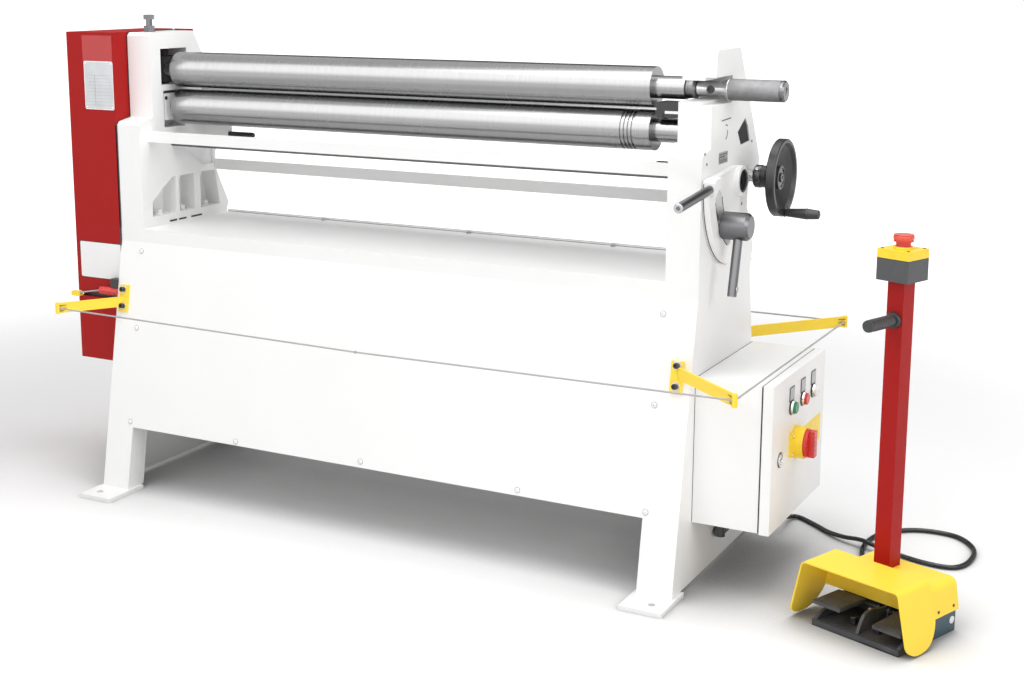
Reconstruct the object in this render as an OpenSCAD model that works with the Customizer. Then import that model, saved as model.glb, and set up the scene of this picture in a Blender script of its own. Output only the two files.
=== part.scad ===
// Motorised plate rolling machine: two driven front rolls and a rear bending roll between
// two cast end stands on a sheet metal base, with a control box, a trip rope and a pedestal
// that carries the foot pedals and the emergency stop.
// +X runs along the rolls towards the operating end, +Y to the rear, +Z up. The origin is
// on the floor, in the middle of the four anchor holes. Millimetres throughout.

/* [Frame] */
// Length over the outer faces of the two end stands
frame_len = 1577; // [1200:1:2600]
// Width of each end stand along the rolls
stand_w = 75; // [60:1:110]
// Height of the base's top above the floor
base_h = 674; // [560:1:800]
// Depth of the base's top, front to rear
base_d = 338; // [300:1:420]
// Drop below the base's top at which its front and rear start to lean outwards
bend_drop = 34; // [10:1:150]
// Lean of the base's front and rear below the bend, in degrees
lean = 10; // [6:1:14]
// Thickness of the base's plates
plate_t = 6; // [4:1:10]
// Width of a leg along the rolls
leg_w = 82; // [60:1:120]
// Depth of a leg's side lip, front to rear
lip_d = 60; // [40:1:90]
// Height of the lower edge of the front and rear panels
panel_z = 170; // [100:1:260]
// Thickness of the front and rear panels
panel_t = 2; // [1.5:0.5:4]

/* [Feet] */
// Width of a foot plate along the rolls
foot_w = 98; // [90:1:140]
// Length of a foot plate, front to rear
foot_d = 130; // [110:1:180]
// Thickness of a foot plate
foot_t = 10; // [6:1:16]
// Diameter of an anchor hole
anchor_d = 16; // [10:1:22]
// Distance from a foot plate's outer edge to its anchor hole
anchor_in = 36; // [25:1:50]

/* [End stands] */
// Height of the left stand's top
left_top = 1170; // [1120:1:1240]
// Height of the right stand's top
right_top = 1160; // [1120:1:1240]
// Height of the step in a stand's front
step_h = 955; // [880:1:980]
// How far the step sets the upper front back
step_in = 52; // [30:1:70]

/* [Rolls] */
// Diameter of each roll
roll_d = 90; // [80:1:110]
// Clear space between the rolls' right ends and the right end stand
rest_gap = 87; // [60:1:120]
// Height of the top roll's axis
top_roll_h = 1074; // [1050:1:1085]
// Distance of the front rolls' axes ahead of the frame's middle
roll_fwd = 21; // [10:1:30]
// Gap between the front rolls
roll_gap = 5; // [5:0.5:8]
// Gap between the left stand and the rolls' ends
end_gap = 18; // [14:1:24]
// Diameter of the rolls' necks
neck_d = 50; // [44:1:56]
// Diameter of the top roll's release shaft
shaft_d = 33; // [26:1:36]
// Distance of the rear roll's axis behind the front rolls' axes
rear_back = 112; // [100:1:120]
// Height of the rear roll's axis
rear_roll_h = 985; // [975:1:1000]
// Radial running clearance of necks in their bores
run = 0.05; // [0.02:0.01:0.1]

/* [Control box] */
// Depth of the control box along the rolls
box_w = 150; // [120:1:220]
// Length of the control box, front to rear
box_d = 380; // [340:1:460]
// Height of the control box
box_h = 322; // [280:1:420]
// Height of the control box's underside
box_z = 150; // [120:1:200]
// Thickness of the control box's walls
box_t = 3; // [2:0.5:5]
// Thickness of the door
door_t = 22; // [16:1:30]

/* [Trip rope] */
// Height of the trip rope
rope_z = 486; // [480:1:520]
// Diameter of the trip rope
rope_d = 4; // [3:0.5:6]
// Width of a bracket's arm
arm_w = 26; // [18:1:36]

/* [Pedestal] */
// Width of the square pole
pole_w = 38; // [30:1:60]
// Height of the pole's top
pole_top = 716; // [600:1:900]
// Width of the pedal unit's base
pedal_base_w = 207; // [180:1:220]
// Depth of the pedal unit's base
pedal_base_d = 200; // [160:1:240]
// Height of the hood over the pedals
hood_h = 132; // [110:1:160]
// Width of the hood's top
hood_w = 236; // [200:1:280]

/* [Hidden] */
$fn = 64;

white = [0.93, 0.93, 0.92];
red = [0.69, 0.13, 0.11];
yellow = [0.98, 0.86, 0.25];
steel = [0.62, 0.62, 0.63];
dark = [0.2, 0.2, 0.21];
black = [0.06, 0.06, 0.06];
grey = [0.35, 0.36, 0.37];

slope = tan(lean);
half_len = frame_len / 2;
half_d = base_d / 2;
bend_h = base_h - bend_drop;
inner_x = half_len - stand_w;
foot_out = half_d + bend_h * slope;
roll_y = -roll_fwd;
roll_x0 = -inner_x + end_gap;
roll_len = 2 * inner_x - end_gap - rest_gap;
roll_x1 = roll_x0 + roll_len;
bottom_roll_h = top_roll_h - roll_d - roll_gap;
rear_roll_y = roll_y + rear_back;
foot_over = 8;
anchor_out = 42;
anchor_x = half_len + foot_over - anchor_in;
anchor_y = foot_out + anchor_out;

// Front outline of the base at a height: how far it lies ahead of the middle
function lean_at(z) = half_d + max(0, bend_h - z) * slope;

// Turns a shape drawn in (Y, Z) into a slab along X from x0, w wide
module slab(x0, w) {
    translate([x0, 0, 0]) rotate([90, 0, 90]) linear_extrude(w) children();
}

// Cylinder along X from x0, with its axis at (y, z)
module rod_x(x0, len, d, y, z) {
    translate([x0, y, z]) rotate([0, 90, 0]) cylinder(d = d, h = len);
}

// Block given by its lowest corner and size
module block(x, y, z, sx, sy, sz) {
    translate([x, y, z]) cube([sx, sy, sz]);
}

// ---- Base ----

// Outline of the base seen from its end, down to a height
module base_outline(z0, inset) {
    polygon([[-lean_at(z0) + inset, z0], [-half_d + inset, bend_h], [-half_d + inset, base_h - plate_t],
        [half_d - inset, base_h - plate_t], [half_d - inset, bend_h], [lean_at(z0) - inset, z0]]);
}

// Band that follows the base's front outline (side -1) or rear outline (side 1)
module lean_band(side, z0, z1, inset, t) {
    polygon([[side * (lean_at(z0) - inset), z0], [side * (half_d - inset), bend_h],
        [side * (half_d - inset), z1],
        [side * (half_d - inset - t), z1], [side * (half_d - inset - t), bend_h],
        [side * (lean_at(z0) - inset - t), z0]]);
}

// End frame of folded plate: a side plate, front and rear flanges and their return lips
module leg_frame(side) {
    x_out = side > 0 ? half_len - plate_t : -half_len;
    x_leg = side > 0 ? half_len - leg_w : -half_len;
    x_lip = side > 0 ? half_len - leg_w : -half_len + leg_w - plate_t;
    z0 = foot_t;
    color(white) union() {
        slab(x_out, plate_t) base_outline(z0, 0);
        for (s = [-1, 1]) {
            slab(x_leg, leg_w) lean_band(s, z0, base_h - plate_t, 0, plate_t);
            slab(x_lip, plate_t) lean_band(s, z0, base_h - plate_t, 0, lip_d);
        }
    }
}

// Foot plates of one leg frame, each with its anchor hole
module feet(side) {
    color(white) for (s = [-1, 1]) difference() {
        block(side > 0 ? anchor_x + anchor_in - foot_w : -anchor_x - anchor_in,
            s > 0 ? anchor_y + anchor_in - foot_d : -anchor_y - anchor_in, 0, foot_w, foot_d, foot_t);
        translate([side * anchor_x, s * anchor_y, -1]) cylinder(d = anchor_d, h = foot_t + 2);
    }
}

module left_leg_frame() {
    leg_frame(-1);
    feet(-1);
}

module right_leg_frame() {
    leg_frame(1);
    feet(1);
}

// Folded panel between the legs that closes the front (side -1) or rear (side 1) of the base
module lean_panel(side) {
    x0 = half_len - leg_w;
    color(white) slab(-x0, 2 * x0) lean_band(side, panel_z, base_h - plate_t, 0, panel_t);
}

module front_panel() { lean_panel(-1); }
module rear_panel() { lean_panel(1); }

rear_over = 14;
lip_t = 2;
lip_h = 6;

// Top plate: it stands out behind the rear panel, with a low lip between the end stands
module base_top() {
    color(white) {
        block(-half_len, -half_d, base_h - plate_t, frame_len, base_d + rear_over, plate_t);
        block(-inner_x, half_d + rear_over - lip_t, base_h - 1, 2 * inner_x, lip_t, lip_h + 1);
    }
}

// ---- End stands ----
stand_front = half_d;
top_back = 57;
shoulder_y = 213;
shoulder_h = base_h + 226;
shoulder_cut = 8;
waist_y = 134;
waist_h = base_h + 171;

waist_low = base_h + 126;
heel_y = half_d + rear_over + 3;
heel_h = 26;
heel_cut = 9;
step_fall = 16;
top_round = 8;

// Outline of an end stand seen from its end; the front above `nose_h` is set back by `nose_in`
module stand_blank(top, nose_h, nose_in) {
    front = -stand_front + step_in;
    polygon([[-stand_front, base_h], [-stand_front, step_h - step_fall],
        [-stand_front + step_fall / 2, step_h - step_fall / 2], [front, step_h], [front, nose_h],
        [front + nose_in, nose_h + 10], [front + nose_in * 1.35, top - top_round],
        [front + nose_in * 1.35 + top_round, top], [top_back, top],
        [shoulder_y, shoulder_h], [shoulder_y - shoulder_cut, shoulder_h - 2 * shoulder_cut],
        [waist_y + 3 * shoulder_cut, waist_h + 4 * shoulder_cut], [waist_y, waist_h], [waist_y, waist_low],
        [heel_y, base_h + heel_h], [heel_y - heel_cut, base_h + heel_cut], [heel_y - heel_cut, base_h]]);
}

pocket_d = 45;
pocket_lo = base_h + 26;
pocket_hi = base_h + 122;
pocket_w = 62;
rib_t = 26;
pocket_cut = 10;
web_d = 8;

// Three pockets at the foot of a stand's inner face, seen from the end
module pocket_outlines() {
    mid = -rib_t / 2 - pocket_cut;
    mid_end = mid + pocket_w;
    polygon([[mid - rib_t / 2, pocket_lo], [mid - rib_t / 2, pocket_hi],
        [mid - rib_t, pocket_hi], [mid - rib_t - 2 * pocket_cut - pocket_w, pocket_lo + 40],
        [mid - rib_t - 2 * pocket_cut - pocket_w, pocket_lo]]);
    polygon([[mid, pocket_lo], [mid, pocket_hi - pocket_cut], [mid + pocket_cut, pocket_hi],
        [mid_end, pocket_hi], [mid_end, pocket_lo]]);
    polygon([[mid_end + rib_t, pocket_lo], [mid_end + rib_t, pocket_hi - pocket_cut],
        [mid_end + rib_t + pocket_cut, pocket_hi], [mid_end + rib_t + pocket_w, pocket_hi],
        [mid_end + rib_t + pocket_w + 2 * pocket_cut, pocket_lo]]);
}

// Shallow hollow behind the front tie bar, above a slanting web
module web_outline() {
    polygon([[cross_y + cross_d, waist_h + 24], [waist_y - 2 * rib_t, waist_low + 14],
        [waist_y - pocket_cut, waist_low + 14], [waist_y - pocket_cut, waist_h + 24]]);
}

pivot_x = -inner_x - stand_w / 2;
block_y = roll_y - 5;
open_d = 104;
open_lo = 38;
open_hi = 54;
open_h = open_lo + open_hi;
block_h = 66;
block_d = 62;
trunnion_d = 24;
trunnion_h = 9;
bearing_w = 80;
bearing_h = 68;
bearing_y = roll_y - 7;
bearing_gap = 4;
bearing_foot_gap = 19;
bearing_t = 45;

module left_end_stand() {
    x0 = -half_len;
    color(white) difference() {
        slab(x0, stand_w) stand_blank(left_top, left_top - 30, 0);
        slab(x0 + stand_w - pocket_d, pocket_d + 1) pocket_outlines();
        slab(x0 + stand_w - web_d, web_d + 1) web_outline();
        // Window for the top roll's swinging block, with the block's two trunnion bores
        block(x0 - 1, block_y - open_d / 2, top_roll_h - open_lo, stand_w + 2, open_d, open_h);
        translate([pivot_x, roll_y, top_roll_h - open_lo - trunnion_h])
            cylinder(d = trunnion_d + 2 * run, h = open_h + 2 * trunnion_h);
        // Window for the bottom roll's bearing block
        block(x0 + stand_w - bearing_t, bearing_y - bearing_w / 2 - bearing_gap,
            bottom_roll_h - bearing_h / 2 - bearing_foot_gap, bearing_t + 1, bearing_w + bearing_gap,
            bearing_h + bearing_foot_gap + 2 * bearing_gap);
        rod_x(x0 - 1, stand_w, neck_d + 2 * run, roll_y, bottom_roll_h);
        rod_x(x0 + rear_end_in, stand_w, rear_neck_d, rear_roll_y, rear_roll_h);
    }
}

nose_in = 20;
slot_h = 44;
slot_mouth_h = 58;
slot_mouth_w = 24;
slot_back = 30;
window_d = 12;
bore_len = 30;
rear_neck_d = 46;
end_in = 10;
rear_end_in = 20;

module right_end_stand() {
    x0 = inner_x;
    color(white) difference() {
        slab(x0, stand_w) stand_blank(right_top, top_roll_h + 10, nose_in);
        slab(x0 - 1, pocket_d + 1) pocket_outlines();
        slab(x0 - 1, web_d + 1) web_outline();
        // Slot through which the release shaft swings out
        block(x0 - 1, -stand_front, top_roll_h - slot_h / 2, stand_w + 2, stand_front + roll_y + slot_back,
            slot_h);
        block(half_len - slot_mouth_w, -stand_front, top_roll_h - slot_mouth_h / 2, slot_mouth_w + 1,
            stand_front + roll_y + slot_back, slot_mouth_h);
        rod_x(x0 - 1, stand_w - end_in + 1, neck_d + 2 * run, roll_y, bottom_roll_h);
        rod_x(x0 - 1, stand_w - rear_end_in + 1, rear_neck_d, rear_roll_y, rear_roll_h);
        // Window over the end of the rear roll's bearing
        slab(half_len - window_d, window_d + 1) polygon([[rear_roll_y - 39, rear_roll_h - 9],
            [rear_roll_y + 10, rear_roll_h + 19], [rear_roll_y + 29, rear_roll_h],
            [rear_roll_y + 46, rear_roll_h - 36], [rear_roll_y - 16, rear_roll_h - 40]]);
        rod_x(half_len - bore_len - 5, bore_len + 6, pivot_d + 2 * run, lever_y, lever_h);
        rod_x(half_len - bore_len - 5, bore_len + 6, shaft_bore_d + 2 * run, wheel_y, wheel_h);
        rod_x(half_len - stud_in, stud_in + 1, stud_d, clamp_y, clamp_h);
    }
}

// ---- Drive cover ----
cover_w = 154;
cover_front = half_d + 2;
cover_back = 150;
cover_top = 1171;
cover_split = 493;
cover_gap = 13;
cover_low = 313;

module cover_shell(z0, z1) {
    block(-half_len - cover_w, -cover_front, z0, cover_w, cover_front + cover_back, z1 - z0);
}

module drive_cover() {
    color(red) cover_shell(cover_split, cover_top);
}

module drive_cover_lower() {
    color(red) cover_shell(cover_low, cover_split - cover_gap);
}

// Housing that shows in the slot between the two covers
module drive_gearbox() {
    color(black) block(-half_len - cover_w + 6, -cover_front + 12, cover_split - cover_gap, cover_w - 6,
        cover_front + cover_back - 24, cover_gap);
}

// ---- Cross members ----
front_bar_y = -139;
front_bar_drop = 60;
front_bar_z = step_h - front_bar_drop;
bar_d = 22;
bar_h = 26;
rear_bar_y = 129;
rear_bar_d = 16;
rear_bar_h = 27;
rear_bar_up = 123;
rear_bar_z = base_h + rear_bar_up;

module front_tie_bar() {
    color(white) block(-inner_x, front_bar_y, front_bar_z, 2 * inner_x, bar_d, bar_h);
}

module rear_tie_bar() {
    color(white) block(-inner_x, rear_bar_y, rear_bar_z, 2 * inner_x, rear_bar_d, rear_bar_h);
}

cross_y = -40;
cross_drop = 91;
cross_z = bottom_roll_h - cross_drop;
cross_d = 24;

module cross_shaft() {
    color(dark) rod_x(-inner_x, 2 * inner_x, cross_d, cross_y, cross_z);
}

pin_y = 106;
pin_down = 88;
pin_z = rear_roll_h - pin_down;
pin_drop = 9;
pin_d = 15;
left_pin_len = 146;
right_pin_len = 131;
slide_len = 72;
slide_t = 18;
slide_h = 48;

// Blocks under the rear roll that carry the pins
module slide_blocks() {
    color(grey) for (x = [-inner_x, inner_x - slide_len])
        block(x, pin_y - slide_t / 2, pin_z - pin_d / 2 - 5, slide_len, slide_t, slide_h);
}

// Pin that stands out of a slide block, with a round end; `end` is -1 at the left, 1 at the right
module slide_pin(end, len, z) {
    out = len - slide_len;
    rod_x(end > 0 ? inner_x - len : -inner_x + slide_len, out, pin_d, pin_y, z);
    translate([end * (inner_x - len), pin_y, z]) sphere(d = pin_d);
}

module slide_pins() {
    color(black) {
        slide_pin(-1, left_pin_len, pin_z);
        slide_pin(1, right_pin_len, pin_z - pin_drop);
    }
}

// ---- Rolls ----
journal_len = 71;
groove_w = 6;
groove_d = 3;
groove_pitch = 9;
groove_count = 4;
groove_x = roll_x1 - 70;

module top_roll() {
    color(steel) {
        rod_x(roll_x0, roll_len, roll_d, roll_y, top_roll_h);
        rod_x(pivot_x, roll_x0 - pivot_x + 1, neck_d, roll_y, top_roll_h);
        rod_x(roll_x1 - 1, journal_len + 1, neck_d, roll_y, top_roll_h);
        rod_x(roll_x1 + journal_len - 1, shank_x + 1 - roll_x1 - journal_len, shaft_d, roll_y, top_roll_h);
    }
}

module bottom_roll() {
    color(steel) {
        difference() {
            rod_x(roll_x0, roll_len, roll_d, roll_y, bottom_roll_h);
            for (i = [0 : groove_count - 1])
                rod_x(groove_x + i * groove_pitch, groove_w, roll_d + 2, roll_y, bottom_roll_h);
        }
        rod_x(groove_x - 1, groove_count * groove_pitch + 2, roll_d - 2 * groove_d, roll_y,
            bottom_roll_h);
        rod_x(-half_len + 2, roll_x0 + half_len, neck_d, roll_y, bottom_roll_h);
        rod_x(roll_x1 - 1, half_len - end_in - roll_x1 - 5, neck_d, roll_y, bottom_roll_h);
    }
}

module rear_roll() {
    color(steel) {
        rod_x(roll_x0, roll_len, roll_d, rear_roll_y, rear_roll_h);
        rod_x(-half_len + rear_end_in, 2 * (half_len - rear_end_in), rear_neck_d, rear_roll_y, rear_roll_h);
    }
}

// Block that lets the top roll swing forward: it turns on two vertical trunnions
module top_roll_pivot_block() {
    color(dark) difference() {
        union() {
            translate([pivot_x, roll_y, top_roll_h - block_h / 2]) cylinder(d = block_d, h = block_h);
            translate([pivot_x, roll_y, top_roll_h - open_lo - trunnion_h + 0.5])
                cylinder(d = trunnion_d, h = open_h + 2 * trunnion_h - 1);
        }
        rod_x(pivot_x - 1, 40, neck_d + 2 * run, roll_y, top_roll_h);
    }
}

module lower_bearing_block() {
    color(white) difference() {
        block(-inner_x - bearing_t, bearing_y - bearing_w / 2, bottom_roll_h - bearing_h / 2, bearing_t,
            bearing_w, bearing_h);
        rod_x(-inner_x - bearing_t - 1, bearing_t + 2, neck_d + 2 * run, roll_y, bottom_roll_h);
    }
}

handle_x = half_len - 13;
shank_x = inner_x + 9;
shank_d = 32;
handle_d = 46.5;
handle_cone = 16;
handle_len = 119;
cap_len = 7;

module release_handle() {
    color(steel) {
        rod_x(shank_x, handle_x - shank_x + 1, shank_d, roll_y, top_roll_h);
        translate([handle_x, roll_y, top_roll_h]) rotate([0, 90, 0])
            cylinder(d1 = shank_d, d2 = handle_d, h = handle_cone);
        rod_x(handle_x + handle_cone, handle_len, handle_d, roll_y, top_roll_h);
        translate([handle_x + handle_cone + handle_len, roll_y, top_roll_h]) rotate([0, 90, 0])
            cylinder(d1 = handle_d, d2 = handle_d - 6, h = cap_len);
    }
}

screw_y = -72;
nut_d = 30;
nut_h = 16;
screw_d = 16;
screw_len = 33;
head_h = 12;

// Set screw on the left stand: a lock nut, a shank and a hexagonal head
module top_screw() {
    color(steel) translate([pivot_x, screw_y, left_top]) {
        cylinder(d = nut_d, h = nut_h, $fn = 6);
        cylinder(d = screw_d, h = screw_len);
        translate([0, 0, screw_len - 1]) cylinder(d = nut_d, h = head_h, $fn = 6);
    }
}

rest_z = bottom_roll_h + neck_d / 2 + 6;
rest_h = roll_d + roll_gap - neck_d - 12;
rest_len = 76;

module roll_rest() {
    color(dark) block(inner_x - rest_len, roll_y - 30, rest_z, rest_len, 60, rest_h);
}

// ---- Operating side ----
lever_y = 19;
lever_h = base_h + 200;
wheel_y = lever_y + 85;
wheel_h = lever_h + 1;
shaft_bore_d = 20;
pivot_d = 40;
stud_d = 24;
clamp_r = 127;
clamp_a = 222;
clamp_y = lever_y + clamp_r * cos(clamp_a);
clamp_h = lever_h + clamp_r * sin(clamp_a);
side_gap = 1;
stud_in = 40;
sector_r = 184;
sector_t = 16;
slot_w = 40;
slot_a0 = 192;
slot_a1 = 244;
sector_a0 = 174;
sector_a1 = 262;
sector_in = 24;
sector_rise = 20;
ear_in = 12;
ear_out = 42;
ear_drop = 16;
ear_rise = 20;
bar_in = 40;
hub_d = 68;
hub_x = half_len + 28;
sector_x = half_len + side_gap;

// Arc in (Y, Z) about the lever's pivot, as a list of points
function arc(r, a0, a1, n) = [for (i = [0 : n]) let (a = a0 + (a1 - a0) * i / n)
    [lever_y + r * cos(a), lever_h + r * sin(a)]];

// Casting that turns on the pivot: a sector with a slot for the clamp's stud, a hub and an ear
module sector_lever() {
    color(white) difference() {
        union() {
            slab(sector_x, sector_t)
                polygon(concat([[lever_y + sector_in, lever_h - sector_rise],
                    [lever_y - 5, lever_h + hub_d / 2]], arc(sector_r, sector_a0, sector_a1, 24)));
            rod_x(sector_x, hub_x - sector_x, hub_d, lever_y, lever_h);
            rod_x(half_len - bore_len, bore_len + 2, pivot_d, lever_y, lever_h);
            slab(sector_x, ear_t) polygon([[ear_y + ear_in, bar_z - ear_drop], [ear_y + ear_out, bar_z + 4],
                [ear_y + ear_out, bar_z + ear_rise], [ear_y + ear_in / 2, bar_z + ear_rise - 3],
                [ear_y, bar_z + ear_in], [ear_y, bar_z - ear_drop]]);
        }
        slab(sector_x - 1, sector_t + 2) union() {
            polygon(concat(arc(clamp_r - slot_w / 2, slot_a0, slot_a1, 16),
                arc(clamp_r + slot_w / 2, slot_a1, slot_a0, 16)));
            for (a = [slot_a0, slot_a1])
                translate([lever_y + clamp_r * cos(a), lever_h + clamp_r * sin(a)]) circle(d = slot_w);
        }
        rod_x(hub_x - hub_deep, hub_deep + 1, hub_bore, lever_y, lever_h);
        lever_bar(bar_bore, 0, bar_in);
    }
}

hub_bore = 43;
hub_deep = 9;
ear_t = 27;
ear_y = lever_y - sector_r;
bar_x = half_len + 17;
bar_z = lever_h + 4;
bar_bore = 18;
bar_tilt = 95;

// Bar that stands out of the ear, drawn from a distance along it
module lever_bar(d, from, len) {
    translate([bar_x, ear_y + 22, bar_z]) rotate([bar_tilt, 0, 0]) translate([0, 0, from])
        cylinder(d = d, h = len);
}

module sector_rod() {
    color(grey) {
        lever_bar(bar_bore, 0, 100);
        lever_bar(bar_bore + 2, 40, 160);
    }
}

module lever_hub_cap() {
    color(black) {
        rod_x(hub_x - hub_deep, 3, hub_bore, lever_y, lever_h);
        rod_x(hub_x - hub_deep, hub_deep - 1, 14, lever_y, lever_h);
    }
}

clamp_x = sector_x + sector_t + side_gap;
clamp_len = 62;
clamp_d = 60;
clamp_bar_d = 20;
clamp_bar_a = 166;
stud_len = 46;

module clamp_stud() {
    color(steel) rod_x(half_len - stud_in, clamp_x + stud_len - half_len + stud_in, stud_d, clamp_y, clamp_h);
}

module clamp_nut() {
    color(grey) difference() {
        union() {
            translate([clamp_x, clamp_y, clamp_h]) rotate([0, 90, 0]) rotate_extrude()
                polygon([[0, 0], [clamp_d / 2 - 2, 0], [clamp_d / 2, 2], [clamp_d / 2, clamp_len - 7],
                    [clamp_d / 2 - 6, clamp_len], [0, clamp_len]]);
            translate([clamp_x + 36, clamp_y, clamp_h]) rotate([clamp_bar_a, 0, 0])
                cylinder(d = clamp_bar_d, h = 150);
        }
        rod_x(clamp_x - 1, stud_len + 4, stud_d + 2 * run, clamp_y, clamp_h);
    }
}

wheel_d = 172;
hub_gap = 36;
wheel_x = half_len + hub_gap;
wheel_hub_d = 49;
rim_x = 60;
rim_w = 20;
grip_r = 77;
grip_len = 76;
grip_gap = 3;
grip_end_t = 4;
boss_r = 24;
boss_len = 48;
boss_flare = 10;
crank_pin_d = 8;

module handwheel() {
    r = wheel_d / 2;
    hub_r = wheel_hub_d / 2;
    color(black) {
        rod_x(half_len - bore_len, hub_gap + bore_len + 1, shaft_bore_d, wheel_y, wheel_h);
        translate([wheel_x, wheel_y, wheel_h]) rotate([0, 90, 0]) rotate_extrude()
            polygon([[0, 0], [hub_r - 1, 0], [hub_r, 1], [hub_r, 18], [r - 14, rim_x - rim_w - 4],
                [r - 2, rim_x - rim_w], [r, rim_x - rim_w + 2], [r, rim_x - 2], [r - 2, rim_x],
                [r - 9, rim_x], [r - 14, rim_x - 8], [r - 26, rim_x - 16],
                [boss_r + boss_flare, boss_len - 18], [boss_r + 4, boss_len - 14], [boss_r, boss_len],
                [0, boss_len]]);
        rod_x(wheel_x + rim_x - 10, 12, 16, wheel_y, wheel_h - grip_r);
        rod_x(wheel_x + rim_x + 1, grip_len - grip_end_t, crank_pin_d, wheel_y, wheel_h - grip_r);
    }
}

module crank_grip() {
    color(black) difference() {
        translate([wheel_x + rim_x + grip_gap, wheel_y, wheel_h - grip_r]) rotate([0, 90, 0]) rotate_extrude()
            polygon([[0, 0], [8, 0], [9, 2], [12, 44], [12, 50], [10, grip_len - 2], [8, grip_len],
                [0, grip_len]]);
        rod_x(wheel_x + rim_x + 1, grip_len + grip_gap - 1 - grip_end_t, crank_pin_d + 2 * run, wheel_y,
            wheel_h - grip_r);
    }
}

// ---- Control box ----
box_x0 = half_len;
box_x1 = box_x0 + box_w;
box_y0 = -half_d - 4;
box_y1 = box_y0 + box_d;
box_top = box_z + box_h;
door_gap = 1.5;
hinge_x = box_x1 + 3;
hinge_y = box_y1 + 9;
hinge_in = 40;
hinge_h = 20;
hinge_d = 10;

module control_box() {
    color(white) {
        block(box_x0 + box_t - 1, box_y0 + 20, box_z + 20, 5, box_d - 40, box_h - 40);
        difference() {
            block(box_x0, box_y0, box_z, box_w, box_d, box_h);
            block(box_x0 + box_t, box_y0 + box_t, box_z + box_t, box_w, box_d - 2 * box_t,
                box_h - 2 * box_t);
        }
        for (z = [box_z + hinge_in, box_top - hinge_in - hinge_h]) difference() {
            union() {
                block(hinge_x - 4, box_y1, z, 4, hinge_y - box_y1, hinge_h);
                translate([hinge_x, hinge_y, z]) cylinder(d = hinge_d, h = hinge_h);
            }
            translate([hinge_x, hinge_y, z - 1]) cylinder(d = hinge_d / 2, h = hinge_h + 2);
        }
    }
}

door_x0 = box_x1 + door_gap;

module cabinet_door() {
    color(white) {
        difference() {
            block(door_x0, box_y0 - 2, box_z - 2, door_t, box_d + 1, box_h + 4);
            block(door_x0 - 1, box_y0 + 1, box_z + 1, door_t - 2, box_d - 5, box_h - 2);
            for (y = [start_y, stop_y]) rod_x(door_x0, door_t + 2, button_d + 2 * run, y, button_h);
            rod_x(door_x0, door_t + 2, 16 + 2 * run, switch_y, switch_h);
        }
        for (z = [box_z + hinge_in + hinge_h + 1, box_top - hinge_in - 2 * hinge_h - 1]) {
            block(door_x0 + 8, box_y1 - 3, z, 6, 12, hinge_h);
            block(hinge_x, hinge_y - hinge_d / 2, z, 12, hinge_d, hinge_h);
        }
        for (z = [box_z + hinge_in + 1, box_top - hinge_in - 2 * hinge_h])
            translate([hinge_x, hinge_y, z]) cylinder(d = hinge_d / 2 - 2 * run, h = 2 * hinge_h - 1);
    }
}

door_face = door_x0 + door_t;
button_h = 399;
button_d = 22;
start_y = -45;
stop_y = 36;
lamp_y = 114;
switch_y = -14;
switch_h = 314;
switch_w = 78;
switch_tall = 52;
guard_t = 8;
guard_d = 70;
guard_out = 26;
dial_d = 62;
dial_t = 8;
grip_bar = 20;

module door_button(y) {
    rod_x(door_face - 16, 22, button_d, y, button_h);
    rod_x(door_face + 6, 6, button_d + 4, y, button_h);
}

module start_button() { color([0.1, 0.5, 0.25]) door_button(start_y); }
module stop_button() { color([0.75, 0.12, 0.12]) door_button(stop_y); }
module power_lamp() { color(white) rod_x(door_face, 11, button_d + 4, lamp_y, button_h); }

module switch_plate() {
    color(yellow) difference() {
        union() {
            block(door_face, switch_y - switch_w / 2, switch_h - switch_tall / 2, guard_t, switch_w,
                switch_tall);
            rod_x(door_face, guard_out, guard_d, switch_y, switch_h);
        }
        rod_x(door_face - 1, guard_out + 2, 16 + 2 * run, switch_y, switch_h);
    }
}

module main_switch() {
    color(red) {
        rod_x(door_face - 16, guard_out + 18, 16, switch_y, switch_h);
        rod_x(door_face + guard_out + 1, dial_t, dial_d, switch_y, switch_h);
        block(door_face + guard_out + dial_t, switch_y - grip_bar / 2, switch_h - dial_d / 2 + 2, 14,
            grip_bar, dial_d - 4);
    }
}

// ---- Trip rope ----
left_eye_out = 66;
front_eye_d = 174;
right_eye_out = 148;
rear_eye_out = 150;
rear_eye_d = 286;
far_eye_out = 14;
eye_step = 6;
eye_d = 12;
left_tip = [-half_len - left_eye_out, -half_d - front_eye_d];
right_tip = [half_len + right_eye_out, -half_d - front_eye_d - eye_step];
back_tip = [half_len + rear_eye_out, half_d + rear_eye_d];
far_tip = [-half_len - cover_w - far_eye_out, half_d + rear_eye_d - 4 * eye_step];
arm_t = 5;

// Straight bar or rope between two points
module between(p, q, d) {
    v = q - p;
    l = norm(v);
    translate(p) rotate([0, acos(v[2] / l), atan2(v[1], v[0])]) cylinder(d = d, h = l, $fn = 16);
}

foot_plate_w = 28;
foot_plate_h = 68;
foot_plate_t = 6;

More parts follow.
